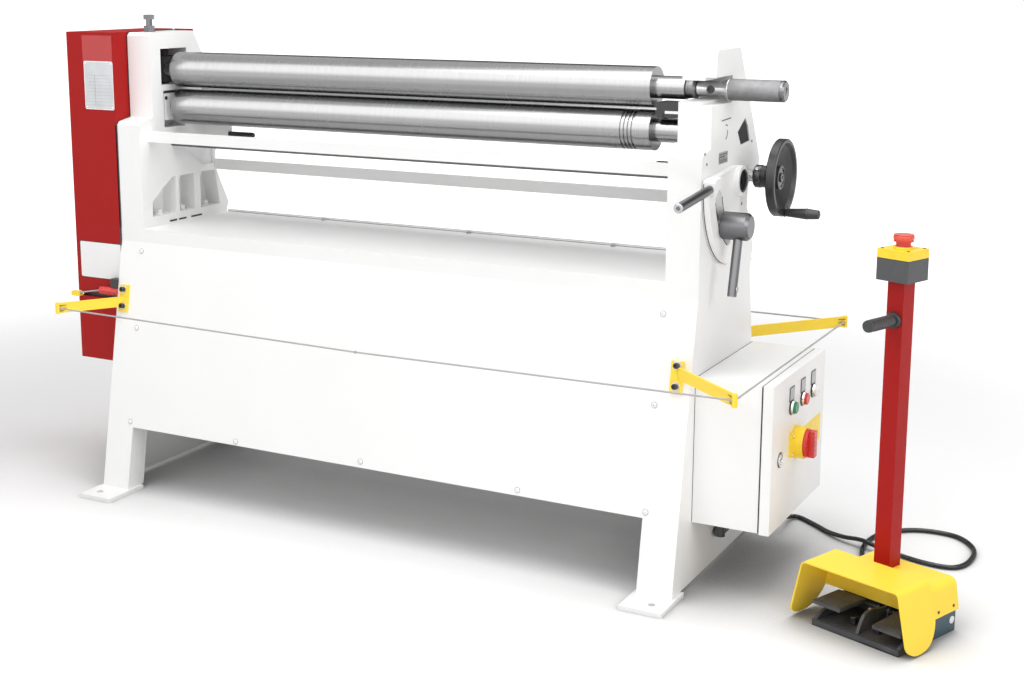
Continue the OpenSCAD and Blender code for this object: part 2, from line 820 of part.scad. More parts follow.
// Bracket: a plate on the leg's leaning face, its middle `rise` above the rope, and a flat arm
// out to an eye round the rope
module rope_bracket(root_x, side, tip, rise) {
    root = [root_x, side * (lean_at(rope_z) + foot_plate_t / 2)];
    run_out = tip - root;
    half_t = [-run_out[1], run_out[0]] * arm_t / (2 * norm(run_out));
    half_root = [half_t[0] * pow(norm(run_out) / run_out[1], 2), 0];
    lo = rope_z + rise - foot_plate_h / 2;
    hi = rope_z + rise + foot_plate_h / 2;
    slab(root_x - foot_plate_w / 2, foot_plate_w) polygon([[side * lean_at(lo), lo],
        [side * lean_at(hi), hi],
        [side * (lean_at(hi) + foot_plate_t), hi], [side * (lean_at(lo) + foot_plate_t), lo]]);
    translate([0, 0, rope_z - arm_w / 2]) linear_extrude(arm_w)
        polygon([root - half_root, root + half_root, tip + half_t, tip - half_t]);
    translate([tip[0], tip[1], rope_z - arm_w / 2]) cylinder(d = eye_d, h = arm_w);
}

plate_in = 25;
rear_plate_in = 55;
left_rise_z = 8;
right_rise_z = -10;
guide_d = 14;
guide_h = 12;
switch_len = 62;
pull_d = 20;
pull_base_w = 26;
pull_base_h = 30;
pull_y = -cover_front - 16;
pull_z = 505;
turn_x = -half_len - cover_w - 8;

rope_sag = 8;
knot = 2;

// The rope's straight runs, `d` thick, with a thimble at each corner
module rope_line(d) {
    mid = (left_tip + right_tip) / 2;
    points = [[left_tip[0], left_tip[1], rope_z], [mid[0], mid[1], rope_z - rope_sag],
        [right_tip[0], right_tip[1], rope_z], [back_tip[0], back_tip[1], rope_z],
        [far_tip[0], far_tip[1], rope_z], [turn_x, -cover_front - 8, rope_z],
        [-half_len - switch_len, pull_y, pull_z]];
    for (i = [0 : len(points) - 2]) {
        between(points[i], points[i + 1], d);
        translate(points[i]) cylinder(d = d + knot, h = d + knot, center = true);
    }
}

module rope_brackets() {
    color(yellow) difference() {
        union() {
            rope_bracket(-half_len + plate_in, -1, left_tip, left_rise_z);
            rope_bracket(half_len - plate_in - eye_step, -1, right_tip, right_rise_z);
            rope_bracket(half_len - rear_plate_in, 1, back_tip, right_rise_z);
            rope_bracket(-half_len + rear_plate_in, 1, far_tip, left_rise_z);
            block(turn_x - guide_h / 2, -cover_front - guide_d, rope_z - guide_h / 2, 2 * guide_d, guide_d,
                guide_h);
        }
        rope_line(rope_d + 2 * run);
    }
}

module trip_rope() {
    color(steel) rope_line(rope_d);
}

module pull_switch() {
    color(red) difference() {
        rod_x(-half_len - switch_len, switch_len, pull_d, pull_y, pull_z);
        rope_line(rope_d + 2 * run);
    }
}

module pull_switch_base() {
    color(black) difference() {
        block(-half_len - pull_base_w, -cover_front - pull_d, pull_z + 4, pull_base_w, pull_d, pull_base_h);
        rod_x(-half_len - switch_len, switch_len, pull_d, pull_y, pull_z);
    }
}

label_w = 92;
label_h = 119;
label_t = 1;
label_in = 5;
label_drop = 194;

module rating_plate() {
    color(steel) block(-half_len - label_in - label_w, -cover_front - label_t, cover_top - label_drop,
        label_w, label_t, label_h);
}

// ---- Pedestal ----
pedestal_out = 372;
pedestal_front = 275;
pedestal_x = half_len + pedestal_out;
pedestal_y = -pedestal_front;
pedestal_turn = -20.5;
hood_d = 108;
hood_t = 3;
hood_round = 12;
flare = 27;
rear_cover_w = pedal_base_w + 2;
rear_cover_h = 114;
rear_cover_d = 94;
rear_cover_low = 50;
rear_round = 16;
rear_flare = 8;
base_u = 16;
pole_foot = 20;
pole_t = 3;
base_v0 = 5;
pole_v = 156;
pole_u = -16;

module at_pedestal() {
    translate([pedestal_x, pedestal_y, 0]) rotate(pedestal_turn) children();
}

// Arch drawn in (width, height), with rounded shoulders and flared sides
module arch(w, h, out, bottom, r) {
    polygon(concat([[-w / 2 - out, bottom]],
        [for (a = [-75 : 15 : 0]) [-w / 2 + r + r * sin(a), h - r + r * cos(a)]],
        [for (a = [0 : 15 : 75]) [w / 2 - r + r * sin(a), h - r + r * cos(a)]],
        [[w / 2 + out, bottom]]));
}

// Bent sheet of a hood: the arch's outline less the same outline one sheet thickness in
module arch_sheet(w, h, out, bottom, r, v0, d) {
    translate([0, v0 + d, 0]) rotate([90, 0, 0]) linear_extrude(d) difference() {
        arch(w, h, out, bottom, r);
        translate([0, -hood_t]) arch(w - 2 * hood_t, h, out, bottom - hood_t - 1, r - hood_t);
    }
}

module pedal_hood() {
    color(yellow) at_pedestal() {
        intersection() {
            arch_sheet(hood_w, hood_h, flare, 4, hood_round, 0, hood_d);
            translate([-hood_w, 0, 0]) rotate([90, 0, 90]) linear_extrude(2 * hood_w)
                polygon([[0, hood_h + 1], [hood_d, hood_h + 1], [hood_d, rear_cover_low],
                    [0.95 * hood_d, 37], [0.88 * hood_d, 26], [0.8 * hood_d, 17], [0.7 * hood_d, 10],
                    [0.58 * hood_d, 6], [0.44 * hood_d, 4], [0.3 * hood_d, 4], [0.18 * hood_d, 7],
                    [0.09 * hood_d, 12], [0.03 * hood_d, 18], [0, 26]]);
        }
        difference() {
            translate([base_u, 0, 0]) arch_sheet(rear_cover_w, rear_cover_h, rear_flare,
                rear_cover_low, rear_round, hood_d, rear_cover_d);
            translate([pole_u - pole_w / 2 - 1, pole_v - pole_w / 2 - 1, rear_cover_low])
                cube([pole_w + 2, pole_w + 2, rear_cover_h]);
        }
        translate([0, hood_d, 0]) rotate([90, 0, 0]) linear_extrude(hood_t)
            arch(hood_w - 2 * hood_t + 2, hood_h - hood_t + 1, flare - 11, rear_cover_low, hood_round - 2);
    }
}

pedal_pin_v = 112;
pedal_pin_h = 36;
pedal_pin_d = 8;
pedal_w = 67;
pedal_in = 39;
pedal_len = 104;
pedal_t = 7;
pedal_back = 14;
lug_in = 49;
lug_w = 40;
left_rise = 1;
right_rise = -3;
rib_w = 7;
rib_h = 52;
tray_t = 12;
wall_h = 26;
cheek_t = 8;
cheek_v = 104;
cheek_d = 40;
cheek_h = 46;
knuckle_d = 14;
rib_v = 13;
block_v = 130;
block_low = 47;
block_in = 18;

// Tray with side walls, a rear block that holds the pole, a rounded middle rib and two cheeks
// for the pins
module pedal_base() {
    w = pedal_base_w / 2;
    back_v = base_v0 + pedal_base_d;
    color(dark) at_pedestal() difference() {
        translate([base_u, 0, 0]) union() {
            translate([-w, base_v0, 0]) cube([2 * w, pedal_base_d, tray_t]);
            translate([-w, block_v, 0]) cube([2 * w, back_v - block_v, block_low]);
            translate([block_in - w, block_v, tray_t])
                cube([2 * (w - block_in), back_v - block_v, rear_cover_h - hood_t - tray_t]);
            translate([-rib_w / 2, 0, 0]) rotate([90, 0, 90]) linear_extrude(rib_w)
                polygon([[rib_v, tray_t - 1], [2 * rib_v, 0.68 * rib_h], [2.7 * rib_v, 0.9 * rib_h],
                    [3.8 * rib_v, rib_h], [4.8 * rib_v, rib_h], [hood_d - 8, cheek_h - 1],
                    [block_v + 1, cheek_h - 1], [block_v + 1, tray_t - 1]]);
            for (s = [-1, 1]) translate([s * (w - cheek_t / 2) - cheek_t / 2, 0, 0]) {
                translate([0, cheek_v, 0]) cube([cheek_t, cheek_d, cheek_h]);
                rotate([90, 0, 90]) linear_extrude(cheek_t)
                    polygon([[base_v0, tray_t - 1], [base_v0 + 30, wall_h], [cheek_v + 1, wall_h],
                        [cheek_v + 1, tray_t - 1]]);
            }
        }
        translate([pole_u - pole_w / 2, pole_v - pole_w / 2, pole_foot])
            cube([pole_w, pole_w, rear_cover_h]);
        translate([base_u - w - 1, pedal_pin_v, pedal_pin_h]) rotate([0, 90, 0])
            cylinder(d = pedal_pin_d + 2 * run, h = 2 * w + 2);
    }
}

// Pedal: a flat plate on a knuckle that turns about its pin, its front raised by `rise` degrees
module foot_pedal(side, rise) {
    w = pedal_base_w / 2;
    u0 = side > 0 ? pedal_in : -pedal_in - pedal_w;
    lug0 = side > 0 ? lug_in : -lug_in - lug_w;
    color(dark) at_pedestal() translate([base_u, pedal_pin_v, pedal_pin_h]) rotate([-rise, 0, 0]) {
        translate([u0, -pedal_len, pedal_pin_d]) cube([pedal_w, pedal_len - pedal_back, pedal_t]);
        rotate([0, 90, 0]) translate([0, 0, lug0]) cylinder(d = knuckle_d, h = lug_w);
        rotate([0, 90, 0]) translate([0, 0, side > 0 ? rib_w / 4 : -w])
            cylinder(d = pedal_pin_d, h = w - rib_w / 4);
        translate([lug0, -pedal_back - 6, 0]) cube([lug_w, pedal_back + 4, pedal_pin_d + 1]);
    }
}

module left_pedal() { foot_pedal(-1, left_rise); }
module right_pedal() { foot_pedal(1, right_rise); }

module pole() {
    color(red) at_pedestal() difference() {
        translate([pole_u - pole_w / 2, pole_v - pole_w / 2, pole_foot])
            cube([pole_w, pole_w, pole_top - pole_foot]);
        translate([pole_u - pole_w / 2 + pole_t, pole_v - pole_w / 2 + pole_t, pole_foot - 1])
            cube([pole_w - 2 * pole_t, pole_w - 2 * pole_t, pole_top]);
    }
}

grip_z = pole_top - 80;
grip_d = 24;
grip_out = 84;

module pole_handle() {
    color(dark) at_pedestal() translate([pole_u, pole_v - pole_w / 2, grip_z]) rotate([90, 0, 0]) {
        cylinder(d = grip_d + 6, h = 8);
        translate([0, 0, 7]) cylinder(d = grip_d, h = grip_out);
    }
}

stop_w = 74;
stop_d = 70;
stop_h = 45;
lid_h = 19;
stem_d = 22;
stem_in = 10;
stop_rise = 14;
collar_d = 30;
button_head_d = 40;

module stop_box() {
    color(dark) at_pedestal() translate([pole_u - stop_w / 2, pole_v - stop_d / 2, pole_top])
        cube([stop_w, stop_d, stop_h]);
}

module stop_box_lid() {
    color(yellow) at_pedestal() difference() {
        translate([pole_u - stop_w / 2, pole_v - stop_d / 2, pole_top + stop_h])
            cube([stop_w, stop_d, lid_h]);
        translate([pole_u, pole_v, pole_top + stop_h + 4]) cylinder(d = stem_d + 2 * run, h = lid_h);
    }
}

module emergency_stop() {
    z = pole_top + stop_h + lid_h;
    color(red) at_pedestal() translate([pole_u, pole_v, 0]) {
        translate([0, 0, z - stem_in]) cylinder(d = stem_d, h = stem_in + stop_rise);
        translate([0, 0, z + stop_rise - stem_in]) cylinder(d = collar_d, h = stem_in);
        translate([0, 0, z + stop_rise]) cylinder(d = button_head_d, h = stop_rise);
    }
}

// ---- Foot cable ----
cable_d = 11;
gland_x = box_x0 + 57;
gland_y = -112;
gland_z = box_z - 22;
gland_len = 24;
gland_d = 18;
end_v = base_v0 + pedal_base_d + gland_len;
end_z = 22;

// Floor point at (u, v) on the pedestal
function on_pedestal(u, v) = [pedestal_x + u * cos(pedestal_turn) - v * sin(pedestal_turn),
    pedestal_y + u * sin(pedestal_turn) + v * cos(pedestal_turn), 0];

cable_route = concat(
    [[gland_x, gland_y, gland_z], [gland_x, gland_y + 12, gland_z], [gland_x, gland_y + 30, gland_z],
    [gland_x, gland_y + 42, gland_z], [846, -20, 126], [848, 60, 118],
    [852, 140, 98], [858, 215, 62], [864, 275, 28], [872, 320, 10], [886, 346, 6], [924, 322, 6],
    [966, 286, 7], [1011, 255, 13], [1058, 238, 19], [1101, 223, 14], [1150, 215, 8], [1202, 202, 6],
    [1248, 196, 6], [1280, 206, 6], [1298, 244, 6], [1300, 310, 6], [1283, 359, 6], [1246, 400, 6],
    [1202, 411, 6], [1157, 405, 6], [1120, 384, 6], [1080, 336, 6], [1066, 288, 6], [1064, 238, 6],
    [1076, 180, 6], [1118, 110, 6], [1180, 64, 8], [1230, 34, 12]],
    [for (v = [52, 26, 12, 0]) on_pedestal(0, end_v + v) + [0, 0, end_z]]);
cable_step = 2;

// Point on a smooth curve through the route, at t along the stretch from point i
function route_at(i, t) = let (n = len(cable_route) - 1, a = cable_route[max(i - 1, 0)], b = cable_route[i],
    c = cable_route[min(i + 1, n)], d = cable_route[min(i + 2, n)])
    0.5 * (2 * b + (c - a) * t + (2 * a - 5 * b + 4 * c - d) * t * t + (3 * b - a - 3 * c + d) * t * t * t);

function unit(v) = v / norm(v);

module tube(path, d, sides) {
    n = len(path);
    rings = [for (i = [0 : n - 1]) let (
            f = unit(path[min(i + 1, n - 1)] - path[max(i - 1, 0)]),
            s = unit(cross(f, [0, 0, 1])), u = cross(s, f))
        [for (k = [0 : sides - 1]) let (a = 360 * (k + 0.5) / sides)
            path[i] + d / 2 * (cos(a) * s + sin(a) * u)]];
    polyhedron(points = [for (r = rings) each r], faces = concat(
        [[for (k = [0 : sides - 1]) k]], [[for (k = [sides - 1 : -1 : 0]) (n - 1) * sides + k]],
        [for (i = [0 : n - 2], k = [0 : sides - 1]) let (a = i * sides + k, b = i * sides + (k + 1) % sides)
            each [[a, a + sides, b], [b, a + sides, b + sides]]]));
}

module foot_cable() {
    color(black) tube([for (i = [0 : len(cable_route) - 2], t = [0 : 1 / cable_step : 0.99]) route_at(i, t),
        cable_route[len(cable_route) - 1]], cable_d, 8);
}

module cable_glands() {
    color(black) {
        translate([gland_x, gland_y - gland_len, gland_z]) rotate([-90, 0, 0])
            cylinder(d = gland_d, h = gland_len);
        translate([gland_x, gland_y - gland_len - gland_d / 2, gland_z - gland_d / 2])
            cylinder(d = gland_d + 2, h = box_z - gland_z + gland_d / 2);
        at_pedestal() translate([0, base_v0 + pedal_base_d, end_z]) rotate([-90, 0, 0])
            cylinder(d = gland_d, h = gland_len);
    }
}

left_leg_frame();
right_leg_frame();
front_panel();
rear_panel();
base_top();
left_end_stand();
right_end_stand();
drive_cover();
drive_cover_lower();
drive_gearbox();
front_tie_bar();
rear_tie_bar();
cross_shaft();
slide_blocks();
slide_pins();
top_roll();
bottom_roll();
rear_roll();
top_roll_pivot_block();
lower_bearing_block();
release_handle();
top_screw();
roll_rest();
sector_lever();
sector_rod();
clamp_stud();
clamp_nut();
lever_hub_cap();
handwheel();
crank_grip();
control_box();
cabinet_door();
main_switch();
switch_plate();
start_button();
stop_button();
power_lamp();
rope_brackets();
trip_rope();
pull_switch();
pull_switch_base();
rating_plate();
pedal_base();
pedal_hood();
left_pedal();
right_pedal();
pole();
pole_handle();
stop_box();
stop_box_lid();
emergency_stop();
foot_cable();
cable_glands();
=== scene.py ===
"""Looks of the plate rolling machine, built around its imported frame. Metres, +Z up."""

import math

import bmesh
import bpy
from mathutils import Matrix, Vector


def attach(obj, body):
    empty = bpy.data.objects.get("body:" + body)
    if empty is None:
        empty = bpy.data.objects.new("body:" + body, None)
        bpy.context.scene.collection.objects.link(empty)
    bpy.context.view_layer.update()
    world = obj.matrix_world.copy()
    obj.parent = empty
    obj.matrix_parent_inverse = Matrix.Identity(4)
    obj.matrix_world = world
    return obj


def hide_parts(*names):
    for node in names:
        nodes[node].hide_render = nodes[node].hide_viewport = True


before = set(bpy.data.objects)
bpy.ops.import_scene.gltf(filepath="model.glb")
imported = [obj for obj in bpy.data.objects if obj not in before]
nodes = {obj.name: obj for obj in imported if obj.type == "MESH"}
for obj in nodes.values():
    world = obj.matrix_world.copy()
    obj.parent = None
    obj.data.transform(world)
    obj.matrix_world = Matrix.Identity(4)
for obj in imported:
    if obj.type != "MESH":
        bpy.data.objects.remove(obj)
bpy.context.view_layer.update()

MM = 0.001
# Directions: out at the operating side, forward, up
RIGHT, FRONT, UP = (1, 0, 0), (0, -1, 0), (0, 0, 1)
# Places of the CAD in millimetres: the stands' inner and outer faces, and axes as (y, z)
STAND_IN, STAND_OUT = 713.5, 788.5
ROLL_AXIS = (-21, 1074)
LEVER_AXIS = (19, 874)
WHEEL_AXIS = (104, 875)
# How far the crank's grip hangs below the handwheel's axis
CRANK_REACH = 77


# ---- Camera ----
def make_camera():
    data = bpy.data.cameras.new("camera")
    data.sensor_width = 36
    data.lens = 53.97
    data.shift_x = 0.0313
    data.shift_y = -0.0698
    cam = bpy.data.objects.new("camera", data)
    cam.location = (1.8885, -3.176, 1.318)
    cam.rotation_euler = (math.radians(79.06), 0, math.radians(28.36))
    bpy.context.collection.objects.link(cam)
    bpy.context.scene.camera = cam


make_camera()


# ---- Materials ----
def principled(name, colour, rough, metal=0.0, **sockets):
    mat = bpy.data.materials.new(name)
    mat.use_nodes = True
    bsdf = mat.node_tree.nodes["Principled BSDF"]
    bsdf.inputs["Base Color"].default_value = (*colour, 1)
    bsdf.inputs["Roughness"].default_value = rough
    bsdf.inputs["Metallic"].default_value = metal
    for key, value in sockets.items():
        bsdf.inputs[key.replace("_", " ")].default_value = value
    return mat


def coords(tree, stretch=(1, 1, 1)):
    geo = tree.nodes.new("ShaderNodeTexCoord")
    mapping = tree.nodes.new("ShaderNodeMapping")
    mapping.inputs["Scale"].default_value = stretch
    tree.links.new(geo.outputs["Object"], mapping.inputs["Vector"])
    return mapping.outputs["Vector"]


def noise(tree, scale, detail=2.0, stretch=(1, 1, 1)):
    node = tree.nodes.new("ShaderNodeTexNoise")
    node.inputs["Scale"].default_value = scale
    node.inputs["Detail"].default_value = detail
    tree.links.new(coords(tree, stretch), node.inputs["Vector"])
    return node.outputs["Fac"]


def spread(tree, value, low, high):
    node = tree.nodes.new("ShaderNodeMapRange")
    node.inputs["From Min"].default_value = 0.3
    node.inputs["From Max"].default_value = 0.7
    node.inputs["To Min"].default_value = low
    node.inputs["To Max"].default_value = high
    tree.links.new(value, node.inputs["Value"])
    return node.outputs["Result"]


def roughen(mat, scale, low, high, detail=3.0, stretch=(1, 1, 1)):
    tree = mat.node_tree
    value = spread(tree, noise(tree, scale, detail, stretch), low, high)
    tree.links.new(value, tree.nodes["Principled BSDF"].inputs["Roughness"])


def bump(mat, scale, depth, detail=2.0, stretch=(1, 1, 1)):
    """Bump of the given depth, in metres, added to what the material already has."""
    tree = mat.node_tree
    bsdf = tree.nodes["Principled BSDF"]
    node = tree.nodes.new("ShaderNodeBump")
    node.inputs["Strength"].default_value = 1
    node.inputs["Distance"].default_value = depth
    tree.links.new(noise(tree, scale, detail, stretch), node.inputs["Height"])
    if bsdf.inputs["Normal"].is_linked:
        tree.links.new(bsdf.inputs["Normal"].links[0].from_socket, node.inputs["Normal"])
    tree.links.new(node.outputs["Normal"], bsdf.inputs["Normal"])


def mottle(mat, colour, scale, amount, detail=3.0, stretch=(1, 1, 1)):
    """Base colour that varies a little about the given one."""
    tree = mat.node_tree
    mix = tree.nodes.new("ShaderNodeMix")
    mix.data_type = "RGBA"
    mix.inputs["A"].default_value = (*[c * (1 - amount) for c in colour], 1)
    mix.inputs["B"].default_value = (*[min(1, c * (1 + amount)) for c in colour], 1)
    tree.links.new(spread(tree, noise(tree, scale, detail, stretch), 0, 1), mix.inputs["Factor"])
    tree.links.new(mix.outputs["Result"], tree.nodes["Principled BSDF"].inputs["Base Color"])


def powder_coat(name, colour, rough=0.36, gloss=0.5):
    mat = principled(name, colour, rough, Specular_IOR_Level=gloss)
    mottle(mat, colour, 3, 0.015)
    roughen(mat, 60, rough - 0.04, rough + 0.04)
    bump(mat, 900, 0.00004)
    return mat


def steel_along_x(name, colour, rough):
    """Metal turned or ground round the X axis: rings of grain, and faint patches."""
    mat = principled(name, colour, rough, 1.0)
    mottle(mat, colour, 1, 0.035, 3, stretch=(260, 4, 4))
    roughen(mat, 1, rough - 0.03, rough + 0.04, 4, stretch=(500, 8, 8))
    bump(mat, 1, 0.0000012, 2, stretch=(700, 5, 5))
    return mat


def plastic(name, colour, rough, grain=0.00006, patches=(40, 0.05)):
    mat = principled(name, colour, rough)
    mottle(mat, colour, *patches)
    roughen(mat, 120, rough - 0.05, rough + 0.05)
    bump(mat, 1400, grain)
    return mat


def mottled(name, colour, rough, scale, amount, metal=0.0):
    """Smooth material whose colour varies a little."""
    mat = principled(name, colour, rough, metal)
    mottle(mat, colour, scale, amount)
    return mat


WHITE = powder_coat("white_coat", (0.86, 0.86, 0.855))
RED = powder_coat("red_coat", (0.36, 0.006, 0.005), 0.42, 0.16)
YELLOW = powder_coat("yellow_coat", (0.97, 0.69, 0.06), 0.4, 0.25)
ROLL_STEEL = steel_along_x("ground_steel", (0.29, 0.29, 0.292), 0.24)
TURNED_STEEL = steel_along_x("turned_steel", (0.42, 0.42, 0.425), 0.33)
CHROME = steel_along_x("bright_steel", (0.62, 0.62, 0.63), 0.16)
DARK_STEEL = steel_along_x("blackened_steel", (0.15, 0.15, 0.155), 0.34)
BLACK_OXIDE = plastic("black_oxide", (0.018, 0.018, 0.02), 0.4, 0.00002)
# Near-black that paints shade: in the stands' windows, round the cover's blank plate and along the
# sector's edges
PAINTED_SHADE = plastic("deep_shade", (0.01, 0.01, 0.01), 0.8)
DARK_CHROME = steel_along_x("dark_chrome", (0.15, 0.15, 0.155), 0.26)
ROPE_GREY = plastic("rope_grey", (0.36, 0.36, 0.365), 0.5, 0.0002)
BLACK = plastic("black_plastic", (0.016, 0.016, 0.017), 0.38)
DARK = plastic("dark_plastic", (0.055, 0.056, 0.06), 0.46, 0.0001)
HANDLE_BLACK = plastic("handle_black", (0.03, 0.03, 0.032), 0.34, 0.0001)
RED_PLASTIC = plastic("red_plastic", (0.62, 0.03, 0.022), 0.25, 0.00001)
GREEN_PLASTIC = plastic("green_plastic", (0.01, 0.22, 0.09), 0.25, 0.00001)
LENS = plastic("lamp_lens", (0.82, 0.82, 0.80), 0.2, 0.00001)
YELLOW_PLASTIC = plastic("yellow_plastic", (0.94, 0.66, 0.02), 0.34, 0.00003)
RUBBER = plastic("cable_rubber", (0.012, 0.012, 0.013), 0.26, 0.00001)
WHITE_SCREW = powder_coat("screw_coat", (0.84, 0.84, 0.84), 0.3)
WASHER_STEEL = steel_along_x("washer_steel", (0.5, 0.5, 0.5), 0.35)
BRIGHT_STEEL = steel_along_x("polished_steel", (0.44, 0.44, 0.445), 0.22)
KNURL = mottled("knurled_steel", (0.22, 0.22, 0.223), 0.6, 60, 0.12, 1.0)
bump(KNURL, 700, 0.0003)
LABEL_WHITE = mottled("label_white", (0.86, 0.86, 0.86), 0.3, 12, 0.01)
LABEL_RED = mottled("label_red", (0.44, 0.03, 0.03), 0.36, 20, 0.06)
PLATE = mottled("data_plate", (0.43, 0.44, 0.45), 0.4, 30, 0.05, 0.9)
roughen(PLATE, 60, 0.3, 0.42)
PLATE_EDGE = mottled("plate_edge", (0.72, 0.73, 0.73), 0.3, 30, 0.04, 0.5)
PLATE_LINE = mottled("plate_line", (0.30, 0.31, 0.31), 0.5, 30, 0.1)
BROWN_SHADE = mottled("slit_shade", (0.16, 0.085, 0.012), 0.6, 60, 0.3)
LEGEND = mottled("legend_face", (0.42, 0.45, 0.45), 0.35, 60, 0.08)
SCALE_GREY = mottled("scale_grey", (0.34, 0.34, 0.34), 0.4, 90, 0.25)
GREY_LINE = mottled("edge_grey", (0.16, 0.16, 0.16), 0.5, 40, 0.2)
WHEEL_BLACK = plastic("wheel_black", (0.02, 0.02, 0.021), 0.24, 0.00001)
STOP_RED = plastic("stop_red", (0.7, 0.085, 0.04), 0.3, 0.00001)
BASE_GREY = plastic("base_grey", (0.05, 0.051, 0.054), 0.55, 0.0003, (26, 0.35, 6))
SIDE_BLUE = plastic("side_blue", (0.035, 0.075, 0.1), 0.42, 0.0003)


def paint(node, mat):
    mesh = nodes[node].data
    mesh.materials.clear()
    mesh.materials.append(mat)


LOOKS = {
    WHITE: ["left_leg_frame", "right_leg_frame", "front_panel", "rear_panel", "base_top",
            "left_end_stand", "right_end_stand", "front_tie_bar", "rear_tie_bar",
            "lower_bearing_block", "sector_lever", "control_box", "cabinet_door", "slide_blocks"],
    RED: ["drive_cover", "drive_cover_lower", "pole"],
    YELLOW: ["rope_brackets", "pedal_hood"],
    ROLL_STEEL: ["top_roll", "bottom_roll", "rear_roll"],
    TURNED_STEEL: ["release_handle", "clamp_stud"],
    DARK_CHROME: ["top_screw"],
    ROPE_GREY: ["trip_rope"],
    DARK_STEEL: ["sector_rod", "clamp_nut", "cross_shaft"],
    # roll_rest is dark steel, made near-black with painted shade under the top roll's neck;
    # drive_gearbox is painted near-black as painted shade in the recess between the two drive
    # covers
    BLACK_OXIDE: ["roll_rest", "slide_pins", "drive_gearbox", "lever_hub_cap"],
    # The top roll's pivot block is painted near-black: painted shade in the left stand's window
    PAINTED_SHADE: ["top_roll_pivot_block"],
    BLACK: ["handwheel", "crank_grip", "pull_switch_base", "cable_glands"],
    BASE_GREY: ["pedal_base", "left_pedal", "right_pedal"],
    DARK: ["stop_box"],
    HANDLE_BLACK: ["pole_handle"],
    RED_PLASTIC: ["main_switch", "stop_button", "pull_switch", "emergency_stop"],
    GREEN_PLASTIC: ["start_button"],
    LENS: ["power_lamp"],
    YELLOW_PLASTIC: ["switch_plate", "stop_box_lid"],
    PLATE: ["rating_plate"],
}
for mat, names in LOOKS.items():
    for name in names:
        paint(name, mat)


# ---- Foot cable ----
# The pedestal's origin in metres, and its turn about the vertical
PEDESTAL_X, PEDESTAL_Y = 1.1605, -0.275
PEDESTAL_TURN = math.radians(-20.5)
EXIT_MM = (845.5, -112, 128)


def pedestal_point(u, v, z):
    """Point given in the pedestal's own width, depth and height, in metres."""
    c, s = math.cos(PEDESTAL_TURN), math.sin(PEDESTAL_TURN)
    return Vector((PEDESTAL_X + u * c - v * s, PEDESTAL_Y + u * s + v * c, z))


def cable_route():
    """From the gland down behind the box, round one loop on the floor, to the pedestal's rear."""
    points = [EXIT_MM, (845.5, -100, 128), (845.5, -82, 128), (845.5, -70, 128), (846, -20, 126),
              (848, 60, 118), (852, 140, 98), (858, 215, 62), (860, 285, 28), (856, 330, 12),
              (872, 356, 6), (924, 321, 6), (966, 286, 7), (1011, 255, 13), (1058, 238, 19),
              (1101, 223, 14), (1150, 215, 8), (1202, 202, 6), (1248, 196, 6), (1280, 206, 6),
              (1298, 244, 6), (1300, 310, 6), (1283, 359, 6), (1246, 400, 6), (1202, 411, 6),
              (1157, 405, 6), (1120, 384, 6), (1080, 336, 6), (1066, 288, 6), (1064, 238, 6),
              (1076, 180, 6), (1118, 110, 6), (1180, 64, 8), (1230, 34, 12)]
    gland_height = 0.022
    ends = [pedestal_point(0, v * MM, gland_height) for v in (286, 260, 246, 234)]
    return [Vector(p) * MM for p in points] + ends


def smooth_path(points, steps):
    """Catmull-Rom curve through the points, with the given number of steps between two."""
    path = []
    last = len(points) - 1
    for i in range(last):
        a, b, c, d = points[max(i - 1, 0)], points[i], points[i + 1], points[min(i + 2, last)]
        for k in range(steps):
            t = k / steps
            path.append(0.5 * (2 * b + (c - a) * t + (2 * a - 5 * b + 4 * c - d) * t * t
                               + (3 * b - a - 3 * c + d) * t * t * t))
    path.append(points[-1].copy())
    return path


def even_path(path, step):
    """The same line as points a fixed distance apart."""
    out = [path[0].copy()]
    left = step
    for a, b in zip(path, path[1:]):
        seg = (b - a).length
        at = left
        while at < seg:
            out.append(a.lerp(b, at / seg))
            at += step
        left = at - seg
    if (out[-1] - path[-1]).length > step * 0.3:
        out.append(path[-1].copy())
    else:
        out[-1] = path[-1].copy()
    return out


def new_object(name, verts, faces, mat, smooth=True):
    mesh = bpy.data.meshes.new(name)
    mesh.from_pydata([tuple(v) for v in verts], [], faces)
    mesh.validate()
    mesh.materials.append(mat)
    for poly in mesh.polygons:
        poly.use_smooth = smooth
    obj = bpy.data.objects.new(name, mesh)
    bpy.context.collection.objects.link(obj)
    return obj


def tube_faces(rings, sides):
    """Faces of a tube with closed ends, over rings of vertices that follow each other."""
    faces = []
    for i in range(rings - 1):
        for k in range(sides):
            a, b = i * sides + k, i * sides + (k + 1) % sides
            faces.append((a, b, b + sides, a + sides))
    faces.append(tuple(range(sides - 1, -1, -1)))
    faces.append(tuple((rings - 1) * sides + k for k in range(sides)))
    return faces


def tube_mesh(name, path, radius_at, sides, mat):
    """Tube along a path; radius_at(i) gives each ring's radius."""
    verts = []
    count = len(path)
    side = None
    for i, p in enumerate(path):
        f = (path[min(i + 1, count - 1)] - path[max(i - 1, 0)]).normalized()
        if side is None:
            side = f.orthogonal().normalized()
        side = (side - f * side.dot(f)).normalized()
        up = f.cross(side)
        r = radius_at(i)
        for k in range(sides):
            a = 2 * math.pi * k / sides
            verts.append(p + r * (math.cos(a) * side + math.sin(a) * up))
    return new_object(name, verts, tube_faces(count, sides), mat)


def foot_conduit():
    """Ribbed conduit along the route: every other ring is a groove."""
    rib, crest, groove = 0.0022, 0.0055, 0.0043
    path = even_path(smooth_path(cable_route(), 12), rib)
    tube = tube_mesh("foot_conduit", path, lambda i: crest if i % 2 else groove, 12, RUBBER)
    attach(tube, "machine")
    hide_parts("foot_cable")


foot_conduit()


